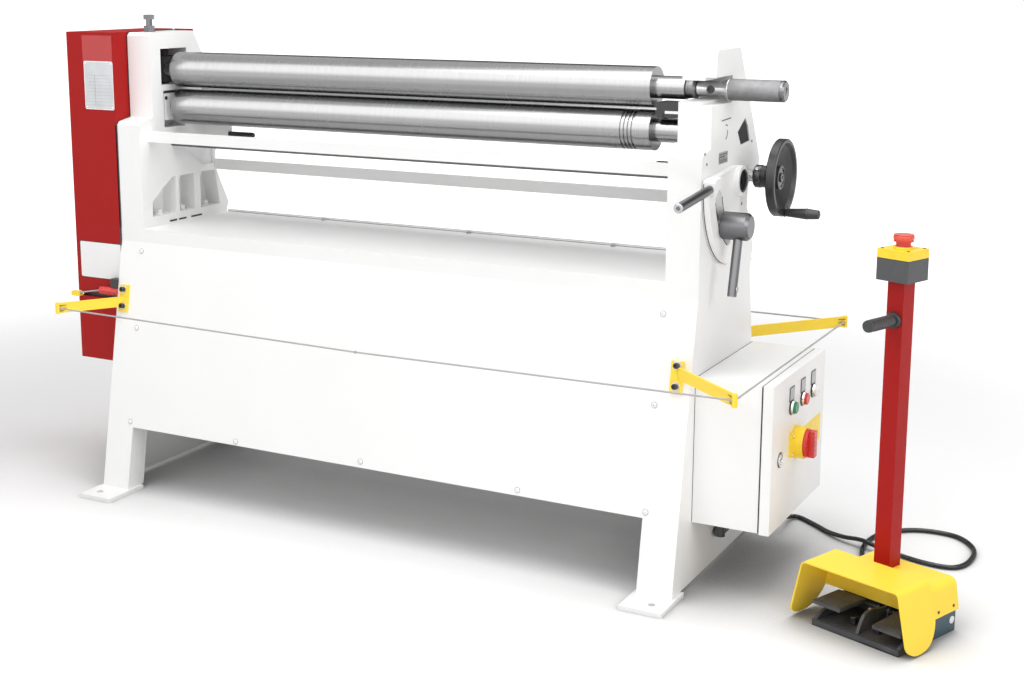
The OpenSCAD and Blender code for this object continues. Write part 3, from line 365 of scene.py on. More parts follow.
# ---- Mesh builders: every size below is in millimetres ----
def lathe(profile, origin, axis, sides=32):
    """Solid of revolution: profile lists (radius, distance along the axis) from origin."""
    axis = Vector(axis).normalized()
    across = axis.orthogonal().normalized()
    other = axis.cross(across)
    origin = Vector(origin)
    verts, faces, rings = [], [], []
    for radius, along in profile:
        centre = origin + axis * along
        if radius <= 0:
            rings.append([len(verts)])
            verts.append(centre)
            continue
        rings.append(list(range(len(verts), len(verts) + sides)))
        for k in range(sides):
            a = 2 * math.pi * (k + 0.5) / sides
            verts.append(centre + radius * (math.cos(a) * across + math.sin(a) * other))
    for low, high in zip(rings, rings[1:]):
        for k in range(sides):
            n = (k + 1) % sides
            if len(low) == 1 and len(high) > 1:
                faces.append((low[0], high[n], high[k]))
            elif len(high) == 1 and len(low) > 1:
                faces.append((low[k], low[n], high[0]))
            elif len(low) > 1:
                faces.append((low[k], low[n], high[n], high[k]))
    return verts, faces


def prism(outline, place, low, high):
    """Outline of 2-D points carried to 3-D by place(a, b, depth), between two depths."""
    count = len(outline)
    verts = [Vector(place(a, b, depth)) for depth in (low, high) for a, b in outline]
    faces = [tuple(range(count - 1, -1, -1)), tuple(range(count, 2 * count))]
    faces += [(k, (k + 1) % count, count + (k + 1) % count, count + k) for k in range(count)]
    return verts, faces


def side_on(y, z, x):
    return x, y, z


def front_on(x, z, y):
    return x, y, z


def top_on(x, y, z):
    return x, y, z


def rectangle(a0, a1, b0, b1, cut=0.0):
    """Rectangle whose corners are cut off at 45 degrees."""
    if not cut:
        return [(a0, b0), (a1, b0), (a1, b1), (a0, b1)]
    return [(a0 + cut, b0), (a1 - cut, b0), (a1, b0 + cut), (a1, b1 - cut),
            (a1 - cut, b1), (a0 + cut, b1), (a0, b1 - cut), (a0, b0 + cut)]


def rounded(a0, a1, b0, b1, radius, steps=4):
    points = []
    for ca, cb, start in ((a1 - radius, b1 - radius, 0), (a0 + radius, b1 - radius, 90),
                          (a0 + radius, b0 + radius, 180), (a1 - radius, b0 + radius, 270)):
        for k in range(steps + 1):
            a = math.radians(start + 90 * k / steps)
            points.append((ca + radius * math.cos(a), cb + radius * math.sin(a)))
    return points


def circle_band(centre, inner, outer, start, end, steps):
    """Outline of a band of a ring, between two angles in degrees."""
    def at(r, a):
        return centre[0] + r * math.cos(math.radians(a)), centre[1] + r * math.sin(math.radians(a))
    angles = [start + (end - start) * k / steps for k in range(steps + 1)]
    return [at(outer, a) for a in angles] + [at(inner, a) for a in reversed(angles)]


def block(low, high):
    (x0, y0, z0), (x1, y1, z1) = low, high
    return prism(rectangle(x0, x1, y0, y1), top_on, z0, z1)


# Edges sharper than the first angle are bevelled; shading is split at the second
BEVEL_ANGLE, CREASE_ANGLE = math.radians(40), math.radians(36)


def make(name, mat, body, *solids, slot, bevel=0.0, segments=2, turn=None):
    """One piece from several solids in millimetres, riding on a body."""
    verts, faces = [], []
    for part_verts, part_faces in solids:
        base = len(verts)
        verts += [Vector(v) * MM for v in part_verts]
        faces += [tuple(base + i for i in face) for face in part_faces]
    obj = new_object(name, verts, faces, mat)
    mesh = obj.data
    work = bmesh.new()
    work.from_mesh(mesh)
    bmesh.ops.recalc_face_normals(work, faces=work.faces)
    if bevel:
        sharp = [e for e in work.edges
                 if len(e.link_faces) == 2 and e.calc_face_angle(0) > BEVEL_ANGLE]
        bmesh.ops.bevel(work, geom=sharp, offset=bevel * MM, segments=segments, profile=0.6,
                        affect="EDGES", clamp_overlap=True)
    if turn:
        bmesh.ops.transform(work, matrix=turn, verts=work.verts)
    work.to_mesh(mesh)
    work.free()
    for poly in mesh.polygons:
        poly.use_smooth = True
    mesh.set_sharp_from_angle(angle=CREASE_ANGLE)
    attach(obj, body)
    return obj


# ---- Shared fastenings ----
# The base's front and rear: distance from the middle; they lean out below the fold
PANEL_Y, FOLD_Z, LEAN = 169, 640, math.radians(10)


def lean_y(z):
    """How far the base's front and rear faces lie from the middle at a height."""
    return PANEL_Y + max(0.0, FOLD_Z - z) * math.tan(LEAN)


def lean_normal(side):
    """Outward normal of the leaning faces: side -1 is the front, 1 the rear."""
    return 0, side * math.cos(LEAN), math.sin(LEAN)


def button_head(at, axis, d=11.0, h=4.0):
    r = d / 2
    return lathe([(0, 0), (r + 0.8, 0), (r + 0.8, 0.6), (r, 0.8), (r * 0.9, h * 0.62),
                  (r * 0.62, h), (r * 0.36, h), (r * 0.32, h - 2.2), (0, h - 2.4)], at, axis, 20)


def socket_screw(at, axis, d, h):
    r = d / 2
    return lathe([(0, 0), (r, 0), (r, h - 0.8), (r - 0.8, h), (r * 0.55, h), (r * 0.5, h - 4),
                  (0, h - 4)], at, axis, 24)


def washer(at, axis, d, h):
    return lathe([(0, 0), (d / 2, 0), (d / 2, h - 0.4), (d / 2 - 0.4, h), (0, h)], at, axis, 28)


def disc(at, axis, r, h, sides):
    return lathe([(0, 0), (r, 0), (r, h), (0, h)], at, axis, sides)


def hex_head(at, axis, across, h):
    r = across / 2 / math.cos(math.radians(30))
    return lathe([(0, 0), (r, 0), (r, h * 0.86), (r * 0.86, h), (0, h)], at, axis, 6)


# ---- Base, feet and trip rope fittings ----
def base_fastenings():
    """Screws of the front and rear panels; bolts and two dark lines along the base's rear lip."""
    places = [(-721, 617), (-718, 422), (-716, 183), (-379, 179), (-13, 184), (404, 182),
              (713, 604), (711, 411), (712, 183)]
    spots = [((x, side * lean_y(z), z), lean_normal(side)) for side in (-1, 1) for x, z in places]
    heads = [button_head(at, out) for at, out in spots]
    make("panel_screws", WHITE_SCREW, "machine", *heads, slot="white_paint")
    # Painted shade: a thin black ring round each screw head
    dark_rings = [disc(at, out, 6.9, 0.5, 20) for at, out in spots]
    make("panel_screw_shade_rings", BLACK_OXIDE, "machine", *dark_rings, slot="dark_steel")
    domes = [lathe([(0, 0), (6, 0), (6, 2), (5, 4.4), (3, 5.6), (0, 6)], (x, 171, 674), UP, 20)
             for x in (-390, 50, 445)]
    make("rear_lip_bolts", SCALE_GREY, "machine", *domes, slot="dark_steel")
    lines = [block((-713, 180.6, 673.9), (713, 181.2, 675.2)),
             block((-713, 181.1, 679.9), (713, 182.9, 680.3))]
    make("rear_lip_lines", GREY_LINE, "machine", *lines, slot="white_paint")


def bracket_fastenings():
    """Washers and screws of the rope brackets."""
    plate, ring = 5.9, 1.6
    heads, rings = [], []
    for side, places in ((-1, ((-766, 516), (-764, 474), (757, 500), (757, 456))),
                         (1, ((-734, 516), (-734, 474), (734, 497), (734, 455)))):
        n = Vector(lean_normal(side))
        for x, z in places:
            at = Vector((x, side * lean_y(z), z)) + n * plate
            rings.append(washer(at, n, 19, ring))
            heads.append(socket_screw(at + n * ring, n, 13, 8))
    make("bracket_washers", WASHER_STEEL, "machine", *rings, slot="ground_steel")
    make("bracket_bolts", BLACK_OXIDE, "machine", *heads, slot="dark_steel")


# The rope's four arms: root and eye, as (x, y)
ARMS = [((-763.5, -197), (-854.5, -343)), ((757.5, -197), (936.5, -349)),
        ((733.5, 197), (938.5, 455)), ((-733.5, 197), (-956.5, 431))]


def rope_ends():
    """Yellow round caps at the arms' eyes."""
    caps = [lathe([(0, -14.4), (4.8, -14.4), (5.9, -13.6), (5.9, 13.6), (4.8, 14.4), (0, 14.4)],
                  (x, y, 486), UP, 24) for _, (x, y) in ARMS]
    make("rope_eye_caps", YELLOW, "machine", *caps, slot="yellow_paint")


def arm_slits():
    """Painted shade in the slits in the ends of the four arms, where the rope lies between the
    fingers.
    """
    neck, cap = 2.8, 5.9
    strips = []
    for root, tip in ARMS:
        root, tip = Vector(root), Vector(tip)
        along = (tip - root).normalized()
        across = Vector((-along.y, along.x))
        for level, reach in ((492, 22), (484, 22), (478, 16)):
            corners = [tip - along * reach + across * neck, tip + across * cap - along * 2,
                       tip + along * cap, tip - across * cap - along * 2,
                       tip - along * reach - across * neck]
            strips.append(prism([tuple(c) for c in corners], top_on, level, level + 1.3))
    make("rope_slits", BROWN_SHADE, "machine", *strips, slot="yellow_paint")


# ---- Drive cover ----
def cover_details():
    """Bare plate and patch on the drive cover, the data plate's trim, and painted shade round the
    plate and in the gap between cover and left stand.
    """
    face = -171.0
    # The dark rim round the blank plate is painted shade at the plate's edge
    blanks = (("cover_blank_shade_rim", PAINTED_SHADE, (-930.6, -788.6, 531.4, 628.6, 4), 0.3, "dark_steel"),
              ("cover_blank_plate", LABEL_WHITE, (-929, -790, 533, 627, 4), 0.5, "white_paint"),
              ("cover_blank_patch", LABEL_RED, (-890, -792, 1098, 1163, 2), 0.4, "red_paint"))
    for name, mat, corners, depth, slot in blanks:
        sheet = prism(rounded(*corners), front_on, face - depth, face + 0.2)
        make(name, mat, "machine", sheet, slot=slot)
    x0, x1, z0, z1 = -885.5, -793.5, 977, 1096
    edge = prism(rounded(x0 - 2, x1 + 2, z0 - 2, z1 + 2, 4), front_on, face - 0.6, face + 0.2)
    make("data_plate_edge", PLATE_EDGE, "machine", edge, slot="ground_steel")
    pitch, near, far = 8.4, face - 1.25, face - 0.9
    rules = [block((x0 + 5, near, z1 - 34 - pitch * k), (x1 - 5, far, z1 - 33.3 - pitch * k))
             for k in range(10)]
    rules.append(block((x0 + 33, near, z0 + 8), (x0 + 33.7, far, z1 - 33.4)))
    make("data_plate_rules", PLATE_LINE, "machine", *rules, slot="ground_steel")
    rivets = [lathe([(0, 0), (2.2, 0), (1.8, 0.8), (0, 1.2)], (x, face - 1, z), FRONT, 12)
              for x in (x0 + 4, x1 - 4) for z in (z0 + 4, z1 - 4)]
    make("data_plate_rivets", CHROME, "machine", *rivets, slot="ground_steel")
    # Black strip of painted shade in the gap between the cover and the left stand
    run = [(-169, 674), (-169, 937), (-162, 946), (-117, 955), (-117, 1140), (-117, 1162),
           (-109, 1170), (57, 1170)]
    strips = []
    for (ya, za), (yb, zb) in zip(run, run[1:]):
        along = Vector((yb - ya, zb - za)).normalized()
        out = Vector((-along.y, along.x)) * 2
        corners = [(ya, za), (yb, zb), (yb + out.x, zb + out.y), (ya + out.x, za + out.y)]
        strips.append(prism(corners, side_on, -791.5, -786.5))
    strips.append(block((-791.5, -171.6, 313), (-787.5, -168, 674)))
    make("cover_gap_shade", BLACK, "machine", *strips, slot="black_plastic")


# ---- Pull switch ----
def pull_switch_details():
    """Red ribbed boot of the pull switch."""
    ribs = [lathe([(0, 0), (r, 0), (r + 1.2, 2), (r + 1.2, 4), (r, 6), (0, 6)],
                  (x, -187, 505), RIGHT, 24)
            for x, r in ((-842, 9.4), (-834, 9.6), (-826, 9.8), (-818, 10))]
    make("pull_switch_boot", RED_PLASTIC, "machine", *ribs, slot="red_plastic")


# ---- Control box ----
# The door's outer face, and the main switch's axis as (y, z)
DOOR = 962.0
SWITCH = (-14, 314)


def door_details():
    """Trim of the buttons and the lamp, the lock, and the main switch's surround."""
    start, stop, lamp, high = -45, 36, 114, 399
    row = (start, stop, lamp)
    dark_rings = [lathe([(13.4, 0), (17, 0), (17, 2), (15.5, 3.4), (13.4, 3.6)],
                   (DOOR, y, high), RIGHT, 36) for y in row]
    make("button_seats", BLACK, "cabinet_door", *dark_rings, slot="black_plastic")
    bezels = [lathe([(14.6, 2.4), (15.6, 3), (15.4, 6), (14.8, 7.6), (13.4, 7.6), (13.4, 2.4)],
                    (DOOR, y, high), RIGHT, 36) for y in row]
    make("button_bezels", CHROME, "cabinet_door", *bezels, slot="ground_steel")
    plates = [prism(rounded(y - 17, y + 17, high + 14, high + 46, 3), side_on, DOOR, DOOR + 1.2)
              for y in row]
    make("legend_holders", BLACK, "cabinet_door", *plates, slot="black_plastic")
    faces = [prism(rounded(y - 15, y + 15, high + 17, high + 44, 2), side_on,
                   DOOR + 1.1, DOOR + 1.7) for y in row]
    make("legend_faces", LEGEND, "cabinet_door", *faces, slot="white_paint")
    for y, mat, body, slot in ((start, GREEN_PLASTIC, "start_button", "green_plastic"),
                               (stop, RED_PLASTIC, "stop_button", "red_plastic")):
        cap = lathe([(0, 4.6), (12.3, 4.6), (12.3, 12.4), (11.4, 13.2), (7, 12.9), (0, 12.6)],
                    (DOOR, y, high), RIGHT, 36)
        make(body + "_cap", mat, body, cap, slot=slot)
    dome = lathe([(12.2, 0), (12.2, 7), (11.2, 10.2), (8.4, 12.6), (4.4, 13.8), (0, 14)],
                 (DOOR, lamp, high), RIGHT, 36)
    make("lamp_dome", LENS, "cabinet_door", dome, slot="white_plastic")
    lock_at = (DOOR, -115, 300)
    lock = [lathe([(0, 0), (15, 0), (15, 2), (13.8, 3.2), (10, 3.4), (9.4, 2.2), (0, 2.2)],
                  lock_at, RIGHT, 36),
            prism(rectangle(-121, -109, 297.6, 302.4, 0.8), side_on, DOOR + 2, DOOR + 4.6)]
    make("door_lock", CHROME, "cabinet_door", *lock, slot="ground_steel")
    make("door_lock_seat", BLACK, "cabinet_door", disc(lock_at, RIGHT, 17.2, 0.9, 36),
         slot="black_plastic")
    y, z = SWITCH
    corner = [button_head((DOOR + 8, y + sy * 33.5, z + sz * 20.5), RIGHT, 6, 2.4)
              for sy in (-1, 1) for sz in (-1, 1)]
    make("switch_plate_screws", CHROME, "cabinet_door", *corner, slot="ground_steel")
    ring = lathe([(28, 24), (35.4, 24), (35.8, 25), (35, 27), (32.4, 27.4), (31.8, 25.8),
                  (28, 25.8)], (DOOR, y, z), RIGHT, 52)
    foot = lathe([(30, 7.6), (37, 7.6), (36.4, 9.4), (35, 10.2), (30, 10.2)],
                 (DOOR, y, z), RIGHT, 52)
    make("switch_dial_ring", YELLOW_PLASTIC, "cabinet_door", ring, foot, slot="yellow_plastic")
    patch = prism(rounded(22, 184, 266, 330, 3), side_on, DOOR, DOOR + 0.6)
    make("switch_backing", YELLOW_PLASTIC, "cabinet_door", patch, slot="yellow_plastic")


def switch_handle():
    """Rotary handle: a round base with a thick rounded grip across it."""
    y, z = SWITCH
    base = lathe([(0, 27.2), (30.6, 27.2), (31, 28), (31, 33), (29.4, 35), (24, 35.4),
                  (23, 33.6), (0, 33.6)], (DOOR, y, z), RIGHT, 52)
    grip = prism(rounded(y - 11, y + 11, z - 28.5, z + 28.5, 10, 6), side_on,
                 DOOR + 33, DOOR + 47)
    make("switch_handle", RED_PLASTIC, "main_switch", base, grip, bevel=1.6, segments=3,
         slot="red_plastic")


def door_seal():
    """Black seal between door and box, dark lines at the box's joints, and the hinges' caps."""
    x0, x1 = 938.7, 939.9
    rim = [block((x0, -174, 150), (x1, -171, 472)), block((x0, 203, 150), (x1, 206, 472)),
           block((x0, -171, 469), (x1, 203, 472)), block((x0, -171, 150), (x1, 203, 153))]
    make("door_seal", BLACK, "machine", *rim, slot="black_plastic")
    lip = [block((936.2, -173.25, 151), (938.4, -172.9, 471)),
           block((936.2, -172, 471.9), (938.4, 204, 472.25)),
           block((788.6, -173.2, 151), (789.7, -172.9, 471)),
           block((788.6, -172, 471.9), (789.7, 204, 472.2))]
    make("door_seal_lip", BLACK, "machine", *lip, slot="black_plastic")
    hinge = [lathe([(0, -0.6), (4.2, -0.6), (5, 0), (5, 4), (4.2, 4.6), (0, 4.6)],
                   (941.5, 216, z), UP, 20) for z in (187, 431)]
    make("hinge_caps", BLACK, "machine", *hinge, slot="black_plastic")


def box_elbow():
    """Short corrugated hose that leaves the underside of the control box for the machine."""
    rib, crest, groove = 0.0024, 0.0115, 0.0098
    points = [(814, -4, 150), (814, -5, 130), (811, -9, 108), (802, -18, 88), (788.5, -28, 76)]
    path = even_path(smooth_path([Vector(p) * MM for p in points], 8), rib)
    hose = tube_mesh("box_hose", path, lambda i: crest if i % 2 else groove, 20, DARK)
    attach(hose, "machine")


# ---- End stands ----
def right_stand_details():
    """Painted shade marks, scale plate, screws and shaft bush on the right stand's outer face."""
    x = STAND_OUT
    # Painted shade: a dark line in a slot, and two arcs at the edge of a round boss
    marks = [prism([(-54, 1008), (3, 1010), (3, 1012.4), (-54, 1010.4)], side_on, x - 0.2, x + 0.5),
             prism(circle_band((-26, 980), 17, 19.5, 60, 95, 6), side_on, x - 0.2, x + 0.5),
             prism(circle_band((-30, 982), 13, 15.5, -75, 20, 10), side_on, x - 0.2, x + 0.5)]
    make("stand_shade_marks", BLACK_OXIDE, "machine", *marks, slot="dark_steel")
    plate = prism(rounded(-66, -11, 917, 942, 2), side_on, x - 0.2, x + 0.5)
    make("scale_plate", SCALE_GREY, "machine", plate, slot="ground_steel")
    ticks = [block((x + 0.4, -62 + 5 * k, 919),
                   (x + 0.7, -60.6 + 5 * k, 932 if k % 5 == 0 else 927)) for k in range(10)]
    ticks += [block((x + 0.4, -64, 936 - 5 * k), (x + 0.7, -14 - 14 * k, 938 - 5 * k))
              for k in range(2)]
    make("scale_marks", BLACK_OXIDE, "machine", *ticks, slot="dark_steel")
    screws = [lathe([(0, 0), (3.6, 0), (3.2, 1), (0, 1.2)], (x - 0.6, y, z), RIGHT, 14)
              for y, z in ((151, 947), (95, 812))]
    screws += [lathe([(0, 0), (3.6, 0), (3.2, 0.6), (0, 0.8)], (x - 0.2, y, z), RIGHT, 14)
               for y, z in ((-139, 925), (-152, 948))]
    make("stand_screws", BLACK_OXIDE, "machine", *screws, slot="dark_steel")
    # Dark sheet of painted shade in the rear window, for what can't be made out behind it
    opening = [(54, 975.5), (101, 1002.6), (119, 984.5), (135.4, 950), (75.6, 946)]
    make("window_shade", PAINTED_SHADE, "machine", prism(opening, side_on, 785.4, 786), slot="dark_steel")
    ring = lathe([(11, 0), (22, 0), (22, 2), (20.6, 3.4), (11, 3.6)], (x, *WHEEL_AXIS), RIGHT, 36)
    make("shaft_bush", BLACK_OXIDE, "machine", ring, slot="dark_steel")


def stand_details():
    """Foot bolts in both stands' pockets; shims and a plug on their inner faces."""
    bolts, shims, plugs = [], [], []
    for side in (-1, 1):
        at = side * (STAND_IN + 22)
        for y in (-84, 8, 106):
            bolts.append(washer((at, y, 700), UP, 26, 2.4))
            bolts.append(hex_head((at, y, 702.4), UP, 19, 11))
        inner = side * STAND_IN
        lo, hi = sorted((inner, inner - side * 0.6))
        for y0, y1 in ((-66, -37), (-28, 2), (22, 67)):
            shims.append(prism(rectangle(y0, y1, 678.8, 683.2), side_on, lo, hi))
        plugs.append(disc((inner, -62, 1002), (-side, 0, 0), 5, 1.2, 18))
    make("stand_foot_bolts", WHITE_SCREW, "machine", *bolts, slot="white_paint")
    make("stand_shims", BLACK_OXIDE, "machine", *shims, *plugs, slot="dark_steel")


def top_screw_details():
    """Thin rod that lies on the left stand's top behind the set screw, with a white ball."""
    rod = [(-751, -58, 1174), (-751, -30, 1174), (-751, 20, 1173.6), (-751, 58, 1172.4)]
    path = [Vector(p) * MM for p in rod]
    line = even_path(smooth_path(path, 6), 0.006)
    stem = tube_mesh("top_rod", line, lambda i: 0.0018, 10, BLACK_OXIDE)
    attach(stem, "machine")
    ball = lathe([(0, -4.4), (2.4, -3.8), (4, -2), (4.5, 0), (4, 2), (2.4, 3.8), (0, 4.4)],
                 (-751, 22, 1177), UP, 20)
    make("top_rod_ball", LENS, "machine", ball, slot="white_plastic")


def shaft_details():
    """Dark collar on the release shaft, and the screw in its flattened block."""
    y, z = ROLL_AXIS
    collar = [lathe([(16.7, 0), (21, 0), (21.6, 1), (21.6, 27), (21, 28), (16.7, 28)],
                    (693, y, z), RIGHT, 40),
              lathe([(21, 10), (22.4, 10), (22.4, 12), (21, 12)], (693, y, z), RIGHT, 40)]
    make("release_collar", DARK_STEEL, "top_roll", *collar, slot="dark_steel")
    screw = lathe([(0, 0), (8.6, 0), (8.6, 2), (7.6, 3.2), (3.6, 3.2), (3.2, 0.8), (0, 0.8)],
                  (755, y - 15.6, z), FRONT, 28)
    make("release_screw", BLACK_OXIDE, "top_roll", screw, slot="dark_steel")


def knurl(x0, x1, radius, pitch):
    """Fine crossed ridges of a knurled sleeve, as one closed tube about the top roll's axis."""
    y, z = ROLL_AXIS
    around, groove = 132, 0.42
    along = round((x1 - x0) / (pitch / 2))
    verts = []
    for i in range(along + 1):
        x = x0 + (x1 - x0) * i / along
        for k in range(around):
            ridge = (i + k) % 2 and 0 < i < along
            r = radius - (0.0 if ridge else groove)
            a = 2 * math.pi * k / around
            verts.append((x, y + r * math.cos(a), z + r * math.sin(a)))
    return verts, tube_faces(along + 1, around)


def release_grip():
    """The release handle: turned shank, cone, knurled sleeve and a grooved end cap."""
    y, z = ROLL_AXIS
    wide = 23.2
    shank = lathe([(0, 0), (15.4, 0), (16, 0.6), (16, 52.4), (wide, 69.4)],
                  (722.5, y, z), RIGHT, 56)
    cone_ring = lathe([(wide, 0), (wide, 1.4), (22.7, 2.4)], (791.9, y, z), RIGHT, 56)
    cap = lathe([(21.6, 0), (21.6, 2.6), (wide, 3.2), (wide, 7), (20.4, 10.4), (9, 10.6),
                 (8, 8.6), (0, 8.6)], (906.9, y, z), RIGHT, 56)
    make("release_shank", BRIGHT_STEEL, "top_roll", shank, cone_ring, slot="ground_steel")
    make("release_cap", DARK_CHROME, "top_roll", cap, slot="ground_steel")
    sleeve = make("release_knurl", KNURL, "top_roll", knurl(793.6, 907.2, wide, 2.2),
                  slot="ground_steel")
    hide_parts("release_handle")


def roll_rest_details():
    """Bright slot and two bolts on the front of the rest under the top roll's free end."""
    left = 637.5
    slot = block((left + 20, -51.6, 1019), (left + 56, -50.6, 1025))
    make("rest_slot", CHROME, "machine", slot, slot="ground_steel")
    bolts = [disc((left + 12 + 52 * k, -51, 1014), FRONT, 5, 2.4, 18) for k in range(2)]
    make("rest_bolts", BLACK_OXIDE, "machine", *bolts, slot="dark_steel")


# ---- Operating side ----
def wheel_details():
    """Bright sleeve, black hub with its set screw, and the raised centre of the handwheel."""
    y, z = WHEEL_AXIS
    sleeve = lathe([(10.2, 0), (13, 0), (13.6, 0.6), (13.6, 23.4), (13, 24), (10.2, 24)],
                   (792.3, y, z), RIGHT, 36)
    make("shaft_sleeve", CHROME, "handwheel", sleeve, slot="ground_steel")
    hub = lathe([(10.2, 0), (23, 0), (25.6, 2.6), (25.6, 15), (24.2, 17), (10.2, 17.4)],
                (815.5, y, z), RIGHT, 44)
    screw = lathe([(0, 0), (5, 0), (5, 2.2), (4, 3), (2, 3), (1.8, 1), (0, 1)],
                  (824, y - 18, z + 18), (0, -1, 1), 18)
    make("wheel_hub", WHEEL_BLACK, "handwheel", hub, slot="black_plastic")
    make("wheel_hub_screw", CHROME, "handwheel", screw, slot="ground_steel")
    face = 872.5
    rings = [lathe([(24, 0), (26.5, 0.6), (27, 2.2), (25, 3), (22, 3), (21.4, 1.2), (0, 1.2)],
                   (face - 0.5, y, z), RIGHT, 48),
             lathe([(0, 0), (10.4, 0), (10.4, 2.6), (9.4, 3.6), (4, 3.6), (3.4, 1.4), (0, 1.4)],
                   (face + 0.6, y, z), RIGHT, 36)]
    make("wheel_centre", WHEEL_BLACK, "handwheel", *rings, slot="black_plastic")
    collar = lathe([(0, 0), (10.4, 0), (10.4, 2.4), (7, 3.4), (5.6, 3.4), (5.6, 2), (0, 2)],
                   (884.3, y, z - CRANK_REACH), RIGHT, 28)
    make("crank_collar", WHEEL_BLACK, "handwheel", collar, slot="black_plastic")


def grip_details():
    """Ring and end cap of the crank's grip."""
    y, z = WHEEL_AXIS[0], WHEEL_AXIS[1] - CRANK_REACH
    band = lathe([(12.1, 0), (12.6, 1), (12.6, 3), (12.1, 4)], (933, y, z), RIGHT, 36)
    tip = lathe([(8.4, -1.6), (8.2, -0.2), (6.4, 0.7), (3, 0.8), (2.6, -0.6), (0, -0.6)],
                (963.5, y, z), RIGHT, 32)
    make("grip_rings", WHEEL_BLACK, "crank_grip", band, tip, slot="black_plastic")


def lever_details():
    """End faces of the two bars, painted shade lines at the sector's outer edge and along its slot,
    and the boss's dark ring.
    """
    x = 805.5
    lever_turn, lever_bar = math.radians(95), 200
    along = Vector((0, -math.sin(lever_turn), math.cos(lever_turn)))
    end = Vector((x, -143, 878)) + along * lever_bar
    tip = lathe([(10, -1.2), (9.8, 0), (8.6, 1.1), (4.6, 1.2), (3.8, -1.6), (0, -1.8)],
                end, along, 32)
    make("lever_tip", TURNED_STEEL, "sector_lever", tip, slot="ground_steel")
    clamp_turn, clamp_bar = math.radians(166), 150
    drop = Vector((0, -math.sin(clamp_turn), math.cos(clamp_turn)))
    foot = Vector((842.5, -75.379, 789.021)) + drop * clamp_bar
    tip = lathe([(10, -1.2), (9.8, 0), (8.6, 1.1), (4.4, 1.2), (3.6, -1.6), (0, -1.8)],
                foot, drop, 32)
    make("clamp_tip", TURNED_STEEL, "clamp_nut", tip, slot="ground_steel")
    eye = foot + Vector((10.1, 0, 0)) - drop * 16
    boss = lathe([(0, 0), (6.6, -0.4), (6.6, 0.6), (5.6, 1.2), (3.4, 1.2), (3, -0.6), (0, -0.6)],
                 eye, RIGHT, 24)
    make("clamp_bar_screw", TURNED_STEEL, "clamp_nut", boss, slot="ground_steel")
    # Painted shade: a dark line in the gap behind the sector's outer edge, and dark lines along its
    # slot's edges
    rim = [prism(circle_band(LEVER_AXIS, 182.8, 184.6, 176, 260, 36), side_on, x - 14, x - 12.4)]
    rim += [prism(circle_band(LEVER_AXIS, inner, outer, 192, 244, 24), side_on, x - 0.3, x + 0.25)
            for inner, outer in ((105.4, 107.6), (146.4, 148.6))]
    make("sector_shade_lines", PAINTED_SHADE, "sector_lever", *rim, slot="white_paint")
    ring = lathe([(21.4, -0.8), (24.6, -0.4), (25.6, 0.7), (24.6, 1.3), (21.6, 1.4), (21.2, -6)],
                 (816.5, *LEVER_AXIS), RIGHT, 48)
    make("boss_ring", BLACK_OXIDE, "sector_lever", ring, slot="dark_steel")


# ---- Pedestal: points below are in its own width, depth and height ----
PEDESTAL = (Matrix.Translation((PEDESTAL_X, PEDESTAL_Y, 0))
            @ Matrix.Rotation(PEDESTAL_TURN, 4, "Z"))
# The middle rib's width position, and the pedals' hinge as (depth, height)
RIB = 16
HINGE = (112, 36)


